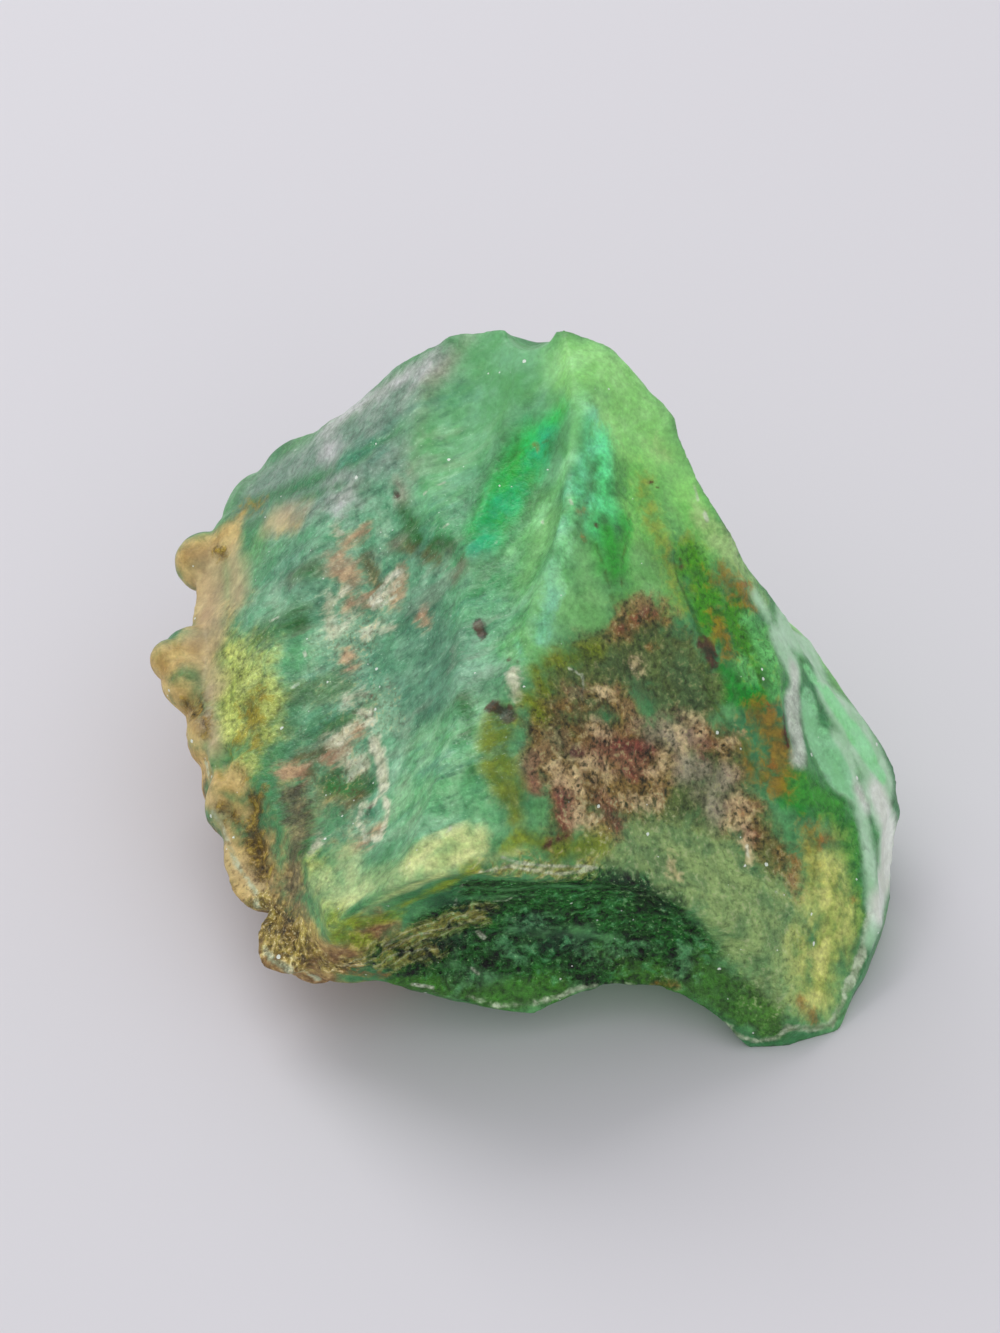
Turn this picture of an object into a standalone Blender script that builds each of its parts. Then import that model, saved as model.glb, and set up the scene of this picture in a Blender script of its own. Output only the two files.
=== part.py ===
"""Raw chrysoprase: one broken lump of green chalcedony with its knobbly brown rind on the left.

The lump is the hull of its named corners. Rounded lumps of rind are joined to its left side, and
shallow ellipsoids take out the hollows where conchoidal flakes came off. It lies on one flat break.
Lengths in this file are millimetres, +X right, +Y back and +Z up, until the finished mesh is scaled
to metres.
"""

import math
import random

import bmesh
import bpy
from mathutils import Matrix, Vector, noise

# Driving dimensions: the box that the finished stone fills, standing on its flat break.
WIDTH = 27.2
DEPTH = 25.0
HEIGHT = 19.4
MM = 0.001

# The skin: the grid it is rebuilt on, how far edges are worn, and how many triangles it keeps.
SKIN_CELL = 0.20
EDGE_WEAR = 0.22
RIND_WEAR = 0.26
MOST_TRIANGLES = 8600
CUTTER_SEGMENTS = 64
CUTTER_RINGS = 32
SHARP_ANGLE = 38
SMOOTH_FACTOR = 0.5

# The stone's waxy green, in linear light.
STONE_COLOUR = (0.115, 0.270, 0.125, 1.0)
STONE_ROUGHNESS = 0.38

# How far the skin wanders from flat breaks, and over what length: slow waves, then ripples.
WANDER = 0.32
WANDER_LENGTH = 4.5
RIPPLE = 0.09
RIPPLE_LENGTH = 1.3
RIPPLE_START = Vector((7.0, 3.0, 5.0))
NOISE_SEED = 5

# Corners where the breaks meet. Those of the base lie below z = 0, where the resting face is cut.
CORNERS = {
    "left_peak": (-1.5, 17.7, 18.9),
    "right_peak": (0.9, 16.2, 19.7),
    "shoulder": (3.1, 15.7, 18.8),
    "crown_right": (5.0, 14.9, 17.1),
    "right_back_mid": (13.4, 10.4, 3.9),
    "right_end": (13.9, 9.0, 2.8),
    "right_end_low": (13.7, 7.7, 1.6),
    "right_edge_high": (8.5, 9.8, 10.4),
    "right_edge_mid": (9.65, 6.8, 7.4),
    "right_edge_low": (12.2, 6.3, 3.9),
    "right_edge_foot": (12.55, 4.2, 1.9),
    "right_edge_step": (9.0, 8.65, 9.3),
    "right_edge_turn": (11.35, 6.9, 5.25),
    "right_toe": (11.2, 1.0, 0.0),
    "toe": (9.4, 0.3, -0.2),
    "toe_top": (9.0, -0.1, 1.4),
    "toe_left": (8.0, 0.2, 0.0),
    "ridge_top": (2.2, 13.1, 18.5),
    "ridge_mid": (1.3, 9.1, 16.4),
    "ridge_low": (0.4, 6.0, 14.5),
    "ridge_foot": (-0.9, 0.8, 11.3),
    "brow_left": (-6.5, -0.8, 7.0),
    "brow_high": (-3.9, -1.6, 9.1),
    "brow_mid": (-1.6, -1.3, 9.5),
    "brow_low": (7.1, 1.2, 4.5),
    "lip_left": (-7.1, 0.4, 3.0),
    "lip_mid": (-2.6, 0.4, 2.0),
    "left_edge_front": (-9.4, 2.3, 5.0),
    "left_edge_mid": (-11.4, 8.9, 5.7),
    "left_edge_back": (-12.4, 14.0, 6.3),
    "left_back": (-12.0, 19.0, 7.2),
    "left_crest_low": (-8.8, 22.4, 10.25),
    "left_crest_high": (-3.6, 20.3, 14.45),
    "back_high": (3.5, 20.5, 13.0),
    "back_right": (7.0, 18.5, 4.5),
    "back_mid": (0.5, 24.0, 6.5),
    "back_left": (-8.0, 23.5, 4.5),
    "base_front_left": (-2.8, 4.8, -0.8),
    "base_toe": (10.3, 1.4, -0.8),
    "base_right": (12.6, 6.2, -0.8),
    "base_back_right": (8.6, 16.0, -0.8),
    "base_back": (1.0, 20.4, -0.8),
    "base_back_left": (-5.6, 18.5, -0.8),
    "base_left": (-5.4, 9.0, -0.8),
}

# Which way the main breaks face, and the way the left break runs along the ridge.
LEFT_BREAK = (-0.62, -0.29, 0.73)
RIGHT_BREAK = (0.58, -0.53, 0.62)
CREST = (0.2, 0.87, 0.46)

# Flake scars: a point on the skin, the way the scar faces, the way its length runs, then its half
# length, half width and depth.
SCARS = {
    "emerald_groove": ((-0.1, 10.8, 16.1), LEFT_BREAK, CREST, 7.0, 1.8, 0.6),
    "pale_groove": ((-1.6, 14.9, 16.6), LEFT_BREAK, CREST, 4.6, 1.7, 0.45),
    "crest_notch": ((0.35, 16.8, 19.1), (-0.3, 0.5, 0.8), (0, 0.8, -0.6), 2.8, 0.95, 0.85),
    "left_dish": ((-5.6, 7.6, 9.9), LEFT_BREAK, CREST, 6.0, 3.4, 0.5),
    "left_strip": ((-8.6, 3.9, 6.2), (-0.86, -0.42, 0.3), (-0.3, 0.9, 0.3), 4.0, 1.7, 0.35),
    "olive_pit": ((-9.3, 4.6, 5.7), LEFT_BREAK, (-0.3, 0.9, 0.2), 1.3, 0.65, 0.4),
    "back_pit": ((-10.8, 8.3, 6.0), LEFT_BREAK, (-0.3, 0.9, 0.2), 0.9, 0.4, 0.3),
    "brow_hollow": ((0.5, -0.3, 5.2), (0.1, -1.0, -0.12), (1, 0, -0.15), 9.2, 4.0, 1.5),
    "arch": ((2.9, 1.7, 0.6), (0.1, -0.55, -1.0), (0, 1, 0), 4.2, 3.3, 1.0),
    "left_arch": ((-5.3, 2.6, 1.2), (0, -0.6, -1.0), (0.2, 1, 0), 3.4, 2.1, 0.6),
    "end_flake": ((10.4, 8.2, 7.2), (0.78, -0.25, 0.575), (0.41, -0.49, -0.77), 2.3, 1.0, 0.3),
    "end_sliver": ((9.4, 7.9, 8.3), (0.76, -0.3, 0.57), (0.23, -0.69, -0.68), 1.6, 0.45, 0.2),
    "end_foot": ((13.1, 6.9, 3.0), (0.95, -0.25, 0.1), (0, 0.4, 0.9), 3.0, 2.0, 0.4),
    "crest_bite": ((8.2, 13.6, 10.9), (0.8, 0.35, 0.5), (0.45, -0.1, -0.8), 4.4, 2.4, 0.65),
    "crest_flake": ((10.4, 12.0, 8.6), (0.86, 0.16, 0.49), (0.55, -0.3, -0.8), 3.2, 1.7, 0.55),
    "right_dish": ((5.5, 4.4, 8.9), RIGHT_BREAK, (0.5, -0.3, -0.8), 5.5, 4.2, 0.6),
    "right_fan": ((4.0, 11.5, 16.3), RIGHT_BREAK, (0.2, -0.6, -0.7), 4.5, 1.8, 0.4),
    "rear_notch": ((-6.0, 21.3, 12.45), (-0.55, 0.5, 0.67), (0.75, -0.3, 0.6), 2.8, 1.7, 0.45),
    "back_bowl": ((2.0, 22.4, 9.6), (0.1, 0.9, 0.35), (1, 0, 0), 7.0, 5.0, 1.6),
    "back_step": ((-6.0, 23.0, 7.6), (-0.2, 0.9, 0.5), (1, 0, 0.4), 4.5, 3.0, 0.9),
    "back_corner": ((8.0, 16.4, 7.6), (0.75, 0.6, 0.3), (0, 0, 1), 5.0, 3.6, 0.8),
}

# Rind lumps along the left edge, back to front: centre and radius.
EDGE_LUMPS = (
    ((-9.6, 20.4, 7.6), 1.7),
    ((-9.9, 18.9, 7.0), 2.0),
    ((-11.9, 18.8, 6.9), 1.15),
    ((-9.9, 16.8, 5.6), 2.1),
    ((-10.3, 14.8, 5.3), 2.0),
    ((-11.9, 14.2, 6.0), 1.3),
    ((-12.0, 12.9, 5.8), 1.2),
    ((-12.7, 13.7, 6.2), 0.9),
    ((-10.1, 11.9, 4.9), 2.2),
    ((-10.9, 10.6, 5.3), 1.4),
    ((-9.4, 9.3, 4.5), 2.2),
    ((-9.9, 7.6, 4.8), 1.5),
    ((-8.6, 6.0, 4.1), 2.1),
    ((-8.9, 4.5, 4.5), 1.5),
    ((-8.2, 1.5, 4.3), 1.55),
    ((-7.0, 2.4, 3.2), 1.7),
)

# The rind under the left edge: how many lumps, how large, how far down the slope they lie (0 at the
# edge, 1 at the base), and how far each is sunk in, in radii.
UNDER_LUMPS = 22
UNDER_RADIUS = (1.2, 2.4)
UNDER_SPREAD = (0.15, 0.9)
UNDER_SINK = 0.62
UNDER_FACING = Vector((-0.75, -0.08, -0.66))
UNDER_SEED = 12

# The rind lies left of this X, and at least this far below the left break.
RIND_RIGHT = -4.7
RIND_DROP = 0.5


def place_cutter(name, where, facing, along, half_length, half_width, depth):
    """An ellipsoid that leaves a scar of this size and depth where it meets the skin."""
    out = Vector(facing).normalized()
    run = Vector(along) - out * Vector(along).dot(out)
    run.normalize()
    across = out.cross(run)
    radius = (half_width * half_width + depth * depth) / (2 * depth)
    stretch = half_length / half_width
    turn = Matrix((run * stretch, across, out)).transposed().to_4x4()
    centre = Vector(where) + out * (radius - depth)
    bm = bmesh.new()
    bmesh.ops.create_uvsphere(
        bm, u_segments=CUTTER_SEGMENTS, v_segments=CUTTER_RINGS, radius=radius
    )
    bmesh.ops.transform(bm, matrix=Matrix.Translation(centre) @ turn, verts=bm.verts)
    bmesh.ops.recalc_face_normals(bm, faces=bm.faces)
    return finish_object(name, bm)


def finish_object(name, bm):
    mesh = bpy.data.meshes.new(name)
    bm.to_mesh(mesh)
    bm.free()
    return bpy.data.objects.new(name, mesh)


def hull_of_corners(name):
    bm = bmesh.new()
    for corner in CORNERS.values():
        bm.verts.new(corner)
    made = bmesh.ops.convex_hull(bm, input=bm.verts)
    bmesh.ops.delete(bm, geom=made["geom_interior"], context="VERTS")
    bmesh.ops.recalc_face_normals(bm, faces=bm.faces)
    return finish_object(name, bm)


def under_lumps():
    """Lumps spread over the slope from the left edge down to the base."""
    draw = random.Random(UNDER_SEED)
    edge = [Vector(CORNERS[name]) for name in ("left_edge_front", "left_edge_mid", "left_back")]
    foot = [Vector(CORNERS[name]) for name in ("base_front_left", "base_left", "base_back_left")]
    lumps = []
    for number in range(UNDER_LUMPS):
        along = 2 * (number + draw.random()) / UNDER_LUMPS
        half = min(int(along), 1)
        top = edge[half].lerp(edge[half + 1], along - half)
        bottom = foot[half].lerp(foot[half + 1], along - half)
        radius = draw.uniform(*UNDER_RADIUS)
        centre = top.lerp(bottom, draw.uniform(*UNDER_SPREAD)) - UNDER_FACING * UNDER_SINK * radius
        lumps.append((centre, radius))
    return lumps


def make_rind():
    bm = bmesh.new()
    for centre, radius in [*EDGE_LUMPS, *under_lumps()]:
        place = Matrix.Translation(centre)
        bmesh.ops.create_icosphere(bm, subdivisions=3, radius=radius, matrix=place)
    return finish_object("rind_lumps", bm)


def evaluated_mesh(obj):
    bpy.context.view_layer.update()
    graph = bpy.context.evaluated_depsgraph_get()
    return bpy.data.meshes.new_from_object(obj.evaluated_get(graph))


def bake_modifiers(stone):
    stone.data = evaluated_mesh(stone)
    stone.modifiers.clear()


def keep_as_helper(obj, helpers):
    obj.hide_render = True
    obj.display_type = "WIRE"
    helpers.objects.link(obj)


def shape_lump(stone, helpers):
    """Joins the rind to the hull, then cuts every flake scar."""
    rind = make_rind()
    keep_as_helper(rind, helpers)
    join = stone.modifiers.new("rind", "BOOLEAN")
    join.operation = "UNION"
    join.object = rind
    join.use_self = True
    for name, scar in SCARS.items():
        cutter = place_cutter(name, *scar)
        keep_as_helper(cutter, helpers)
        cut = stone.modifiers.new(name, "BOOLEAN")
        cut.operation = "DIFFERENCE"
        cut.object = cutter
    bake_modifiers(stone)


def make_skin(stone):
    skin = stone.modifiers.new("skin", "REMESH")
    skin.mode = "VOXEL"
    skin.voxel_size = SKIN_CELL
    bake_modifiers(stone)


def is_rind(point):
    drop = (point - Vector(CORNERS["left_edge_mid"])).dot(Vector(LEFT_BREAK))
    return point.x < RIND_RIGHT and drop < -RIND_DROP


def wear(stone):
    """Wears every edge a little and the rind more, each over a real length."""
    rind = stone.vertex_groups.new(name="rind")
    inside = [vertex.index for vertex in stone.data.vertices if is_rind(vertex.co)]
    rind.add(inside, 1.0, "REPLACE")
    for group, length in (("", EDGE_WEAR), (rind.name, RIND_WEAR)):
        worn = stone.modifiers.new("worn", "SMOOTH")
        worn.factor = SMOOTH_FACTOR
        worn.iterations = round((length / SKIN_CELL) ** 2 / SMOOTH_FACTOR)
        worn.vertex_group = group
    bake_modifiers(stone)
    stone.vertex_groups.clear()


def wander(stone):
    for vertex in stone.data.vertices:
        slow = noise.noise_vector(vertex.co / WANDER_LENGTH)
        quick = noise.noise_vector(vertex.co / RIPPLE_LENGTH + RIPPLE_START)
        vertex.co += slow * WANDER + quick * RIPPLE


def cut_resting_face(stone):
    bm = bmesh.new()
    bm.from_mesh(stone.data)
    geom = bm.verts[:] + bm.edges[:] + bm.faces[:]
    cut = bmesh.ops.bisect_plane(
        bm, geom=geom, plane_co=(0, 0, 0), plane_no=(0, 0, -1), clear_outer=True
    )
    rim = [item for item in cut["geom_cut"] if isinstance(item, bmesh.types.BMEdge)]
    bmesh.ops.edgeloop_fill(bm, edges=rim)
    bm.to_mesh(stone.data)
    bm.free()


def thin_out(stone):
    stone.data.calc_loop_triangles()
    fewer = stone.modifiers.new("fewer", "DECIMATE")
    fewer.ratio = MOST_TRIANGLES / len(stone.data.loop_triangles)
    fewer.use_collapse_triangulate = True
    bake_modifiers(stone)


def fit_box(stone):
    """Brings the stone to its driving dimensions, with the origin at the middle of its base."""
    points = [vertex.co for vertex in stone.data.vertices]
    low = Vector([min(point[axis] for point in points) for axis in range(3)])
    high = Vector([max(point[axis] for point in points) for axis in range(3)])
    foot = Vector(((low.x + high.x) / 2, (low.y + high.y) / 2, low.z))
    grow = [size / span for size, span in zip((WIDTH, DEPTH, HEIGHT), high - low)]
    scale = Matrix.Diagonal((*grow, 1.0))
    stone.data.transform(Matrix.Scale(MM, 4) @ scale @ Matrix.Translation(-foot))
    stone.data.update()


def finish_stone(stone):
    stone.data.shade_smooth()
    stone.data.set_sharp_from_angle(angle=math.radians(SHARP_ANGLE))
    material = bpy.data.materials.new("green_chalcedony")
    material.use_nodes = True
    shader = material.node_tree.nodes["Principled BSDF"]
    shader.inputs["Base Color"].default_value = STONE_COLOUR
    shader.inputs["Roughness"].default_value = STONE_ROUGHNESS
    shader.inputs["Metallic"].default_value = 0.0
    stone.data.materials.append(material)


def new_collection(name):
    made = bpy.data.collections.new(name)
    bpy.context.scene.collection.children.link(made)
    return made


def main():
    for obj in list(bpy.data.objects):
        bpy.data.objects.remove(obj)
    noise.seed_set(NOISE_SEED)
    parts = new_collection("raw_chrysoprase_lump")
    helpers = new_collection("cutters")
    stone = hull_of_corners("raw_chrysoprase")
    parts.objects.link(stone)
    shape_lump(stone, helpers)
    make_skin(stone)
    wear(stone)
    wander(stone)
    cut_resting_face(stone)
    thin_out(stone)
    fit_box(stone)
    finish_stone(stone)


main()
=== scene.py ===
"""Finishes the raw chrysoprase: the broken lump at a finer grain, with rind, scars, pits and colours.

The lump is made the way the solid under it is, from the same corners, rind lumps and flake scars, on a
finer grid, so that small relief can be raised on it. Paint is laid in layers, each along its own marks.
Lengths are millimetres unless a name says otherwise, +X right, +Y back and +Z up.
"""

import math
import random

import bmesh
import bpy
import numpy as np
from mathutils import Matrix, Vector, noise
from mathutils.bvhtree import BVHTree


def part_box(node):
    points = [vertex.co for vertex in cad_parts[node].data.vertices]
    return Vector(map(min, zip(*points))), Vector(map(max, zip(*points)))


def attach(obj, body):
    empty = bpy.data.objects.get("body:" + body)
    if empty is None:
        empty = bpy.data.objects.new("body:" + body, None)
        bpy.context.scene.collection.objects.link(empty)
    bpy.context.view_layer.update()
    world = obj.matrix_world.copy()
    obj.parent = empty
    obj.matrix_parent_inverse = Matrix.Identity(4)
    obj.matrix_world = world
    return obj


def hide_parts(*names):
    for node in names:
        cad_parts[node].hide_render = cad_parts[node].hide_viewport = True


MM = 0.001

# The view: a long lens from 40 degrees up, 160 mm away, aimed at the middle of the stone.
VIEW_RISE = math.radians(40)
VIEW_AWAY = 160.0
VIEW_AIM = Vector((-0.849, -2.594, 10.28))
VIEW_WIDE = 1000
VIEW_TALL = 1333
VIEW_STEP = 0.035
VIEW_CLIP = (0.01, 10.0)
SENSOR = 36.0

# The skin: the grid it is rebuilt on, how far edges are worn, how many triangles it keeps, and how
# finely the cutters and lumps under it are divided.
SKIN_CELL = 0.105
EDGE_WEAR = 0.20
RIND_WEAR = 0.24
MOST_TRIANGLES = 196000
CUTTER_SEGMENTS = 96
CUTTER_RINGS = 48
LUMP_ROUNDS = 3
SMOOTH_FACTOR = 0.5

# How far the skin wanders from flat breaks, and over what length: slow waves, then ripples.
WANDER = 0.32
WANDER_LENGTH = 4.5
RIPPLE = 0.09
RIPPLE_LENGTH = 1.3
RIPPLE_START = Vector((7.0, 3.0, 5.0))
NOISE_SEED = 5

# Corners where the breaks meet. Those of the base lie below z = 0, where the resting face is cut.
CORNERS = {
    "left_peak": (-1.5, 17.7, 18.9),
    "right_peak": (0.9, 16.2, 19.7),
    "shoulder": (3.1, 15.7, 18.8),
    "crown_right": (5.0, 14.9, 17.1),
    "right_back_mid": (13.4, 10.4, 3.9),
    "right_end": (13.9, 9.0, 2.8),
    "right_end_low": (13.7, 7.7, 1.6),
    "right_edge_high": (8.5, 9.8, 10.4),
    "right_edge_mid": (9.65, 6.8, 7.4),
    "right_edge_low": (12.2, 6.3, 3.9),
    "right_edge_foot": (12.55, 4.2, 1.9),
    "right_edge_step": (9.0, 8.65, 9.3),
    "right_edge_turn": (11.35, 6.9, 5.25),
    "right_toe": (11.2, 1.0, 0.0),
    "toe": (9.4, 0.3, -0.2),
    "toe_top": (9.0, -0.1, 1.4),
    "toe_left": (8.0, 0.2, 0.0),
    "ridge_top": (2.2, 13.1, 18.5),
    "ridge_mid": (1.3, 9.1, 16.4),
    "ridge_low": (0.4, 6.0, 14.5),
    "ridge_foot": (-0.9, 0.8, 11.3),
    "brow_left": (-6.5, -0.8, 7.0),
    "brow_high": (-3.9, -1.6, 9.1),
    "brow_mid": (-1.6, -1.3, 9.5),
    "brow_low": (7.1, 1.2, 4.5),
    "lip_left": (-7.1, 0.4, 3.0),
    "lip_mid": (-2.6, 0.4, 2.0),
    "left_edge_front": (-9.4, 2.3, 5.0),
    "left_edge_mid": (-11.4, 8.9, 5.7),
    "left_edge_back": (-12.4, 14.0, 6.3),
    "left_back": (-12.0, 19.0, 7.2),
    "left_crest_low": (-8.8, 22.4, 10.25),
    "left_crest_high": (-3.6, 20.3, 14.45),
    "back_high": (3.5, 20.5, 13.0),
    "back_right": (7.0, 18.5, 4.5),
    "back_mid": (0.5, 24.0, 6.5),
    "back_left": (-8.0, 23.5, 4.5),
    "base_front_left": (-2.8, 4.8, -0.8),
    "base_toe": (10.3, 1.4, -0.8),
    "base_right": (12.6, 6.2, -0.8),
    "base_back_right": (8.6, 16.0, -0.8),
    "base_back": (1.0, 20.4, -0.8),
    "base_back_left": (-5.6, 18.5, -0.8),
    "base_left": (-5.4, 9.0, -0.8),
}

# Which way the main breaks face, and the way the left break runs along the ridge.
LEFT_BREAK = (-0.62, -0.29, 0.73)
RIGHT_BREAK = (0.58, -0.53, 0.62)
CREST = (0.2, 0.87, 0.46)

# Flake scars: a point on the skin, the way the scar faces, the way its length runs, then its half
# length, half width and depth.
SCARS = {
    "emerald_groove": ((-0.1, 10.8, 16.1), LEFT_BREAK, CREST, 7.0, 1.8, 0.6),
    "pale_groove": ((-1.6, 14.9, 16.6), LEFT_BREAK, CREST, 4.6, 1.7, 0.45),
    "crest_notch": ((0.35, 16.8, 19.1), (-0.3, 0.5, 0.8), (0, 0.8, -0.6), 2.8, 0.95, 0.85),
    "left_dish": ((-5.6, 7.6, 9.9), LEFT_BREAK, CREST, 6.0, 3.4, 0.5),
    "left_strip": ((-8.6, 3.9, 6.2), (-0.86, -0.42, 0.3), (-0.3, 0.9, 0.3), 4.0, 1.7, 0.35),
    "olive_pit": ((-9.3, 4.6, 5.7), LEFT_BREAK, (-0.3, 0.9, 0.2), 1.3, 0.65, 0.4),
    "back_pit": ((-10.8, 8.3, 6.0), LEFT_BREAK, (-0.3, 0.9, 0.2), 0.9, 0.4, 0.3),
    "brow_hollow": ((0.5, -0.3, 5.2), (0.1, -1.0, -0.12), (1, 0, -0.15), 9.2, 4.0, 1.5),
    "arch": ((2.9, 1.7, 0.6), (0.1, -0.55, -1.0), (0, 1, 0), 4.2, 3.3, 1.0),
    "left_arch": ((-5.3, 2.6, 1.2), (0, -0.6, -1.0), (0.2, 1, 0), 3.4, 2.1, 0.6),
    "end_flake": ((10.4, 8.2, 7.2), (0.78, -0.25, 0.575), (0.41, -0.49, -0.77), 2.3, 1.0, 0.3),
    "end_sliver": ((9.4, 7.9, 8.3), (0.76, -0.3, 0.57), (0.23, -0.69, -0.68), 1.6, 0.45, 0.2),
    "end_foot": ((13.1, 6.9, 3.0), (0.95, -0.25, 0.1), (0, 0.4, 0.9), 3.0, 2.0, 0.4),
    "crest_bite": ((8.2, 13.6, 10.9), (0.8, 0.35, 0.5), (0.45, -0.1, -0.8), 4.4, 2.4, 0.65),
    "crest_flake": ((10.4, 12.0, 8.6), (0.86, 0.16, 0.49), (0.55, -0.3, -0.8), 3.2, 1.7, 0.55),
    "right_dish": ((5.5, 4.4, 8.9), RIGHT_BREAK, (0.5, -0.3, -0.8), 5.5, 4.2, 0.6),
    "right_fan": ((4.0, 11.5, 16.3), RIGHT_BREAK, (0.2, -0.6, -0.7), 4.5, 1.8, 0.4),
    "rear_notch": ((-6.0, 21.3, 12.45), (-0.55, 0.5, 0.67), (0.75, -0.3, 0.6), 2.8, 1.7, 0.45),
    "back_bowl": ((2.0, 22.4, 9.6), (0.1, 0.9, 0.35), (1, 0, 0), 7.0, 5.0, 1.6),
    "back_step": ((-6.0, 23.0, 7.6), (-0.2, 0.9, 0.5), (1, 0, 0.4), 4.5, 3.0, 0.9),
    "back_corner": ((8.0, 16.4, 7.6), (0.75, 0.6, 0.3), (0, 0, 1), 5.0, 3.6, 0.8),
}

# Rind lumps along the left edge, back to front: centre and radius.
EDGE_LUMPS = (
    ((-9.6, 20.4, 7.6), 1.7),
    ((-9.9, 18.9, 7.0), 2.0),
    ((-11.9, 18.8, 6.9), 1.15),
    ((-9.9, 16.8, 5.6), 2.1),
    ((-10.3, 14.8, 5.3), 2.0),
    ((-11.9, 14.2, 6.0), 1.3),
    ((-12.0, 12.9, 5.8), 1.2),
    ((-12.7, 13.7, 6.2), 0.9),
    ((-10.1, 11.9, 4.9), 2.2),
    ((-10.9, 10.6, 5.3), 1.4),
    ((-9.4, 9.3, 4.5), 2.2),
    ((-9.9, 7.6, 4.8), 1.5),
    ((-8.6, 6.0, 4.1), 2.1),
    ((-8.9, 4.5, 4.5), 1.5),
    ((-8.2, 1.5, 4.3), 1.55),
    ((-7.0, 2.4, 3.2), 1.7),
)

# The rind under the left edge: how many lumps, how large, how far down the slope they lie (0 at the
# edge, 1 at the base), and how far each is sunk in, in radii.
UNDER_LUMPS = 22
UNDER_RADIUS = (1.2, 2.4)
UNDER_SPREAD = (0.15, 0.9)
UNDER_SINK = 0.62
UNDER_FACING = Vector((-0.75, -0.08, -0.66))
UNDER_SEED = 12

# The rind lies left of this X, and at least this far below the left break.
RIND_RIGHT = -4.7
RIND_DROP = 0.5

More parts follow.
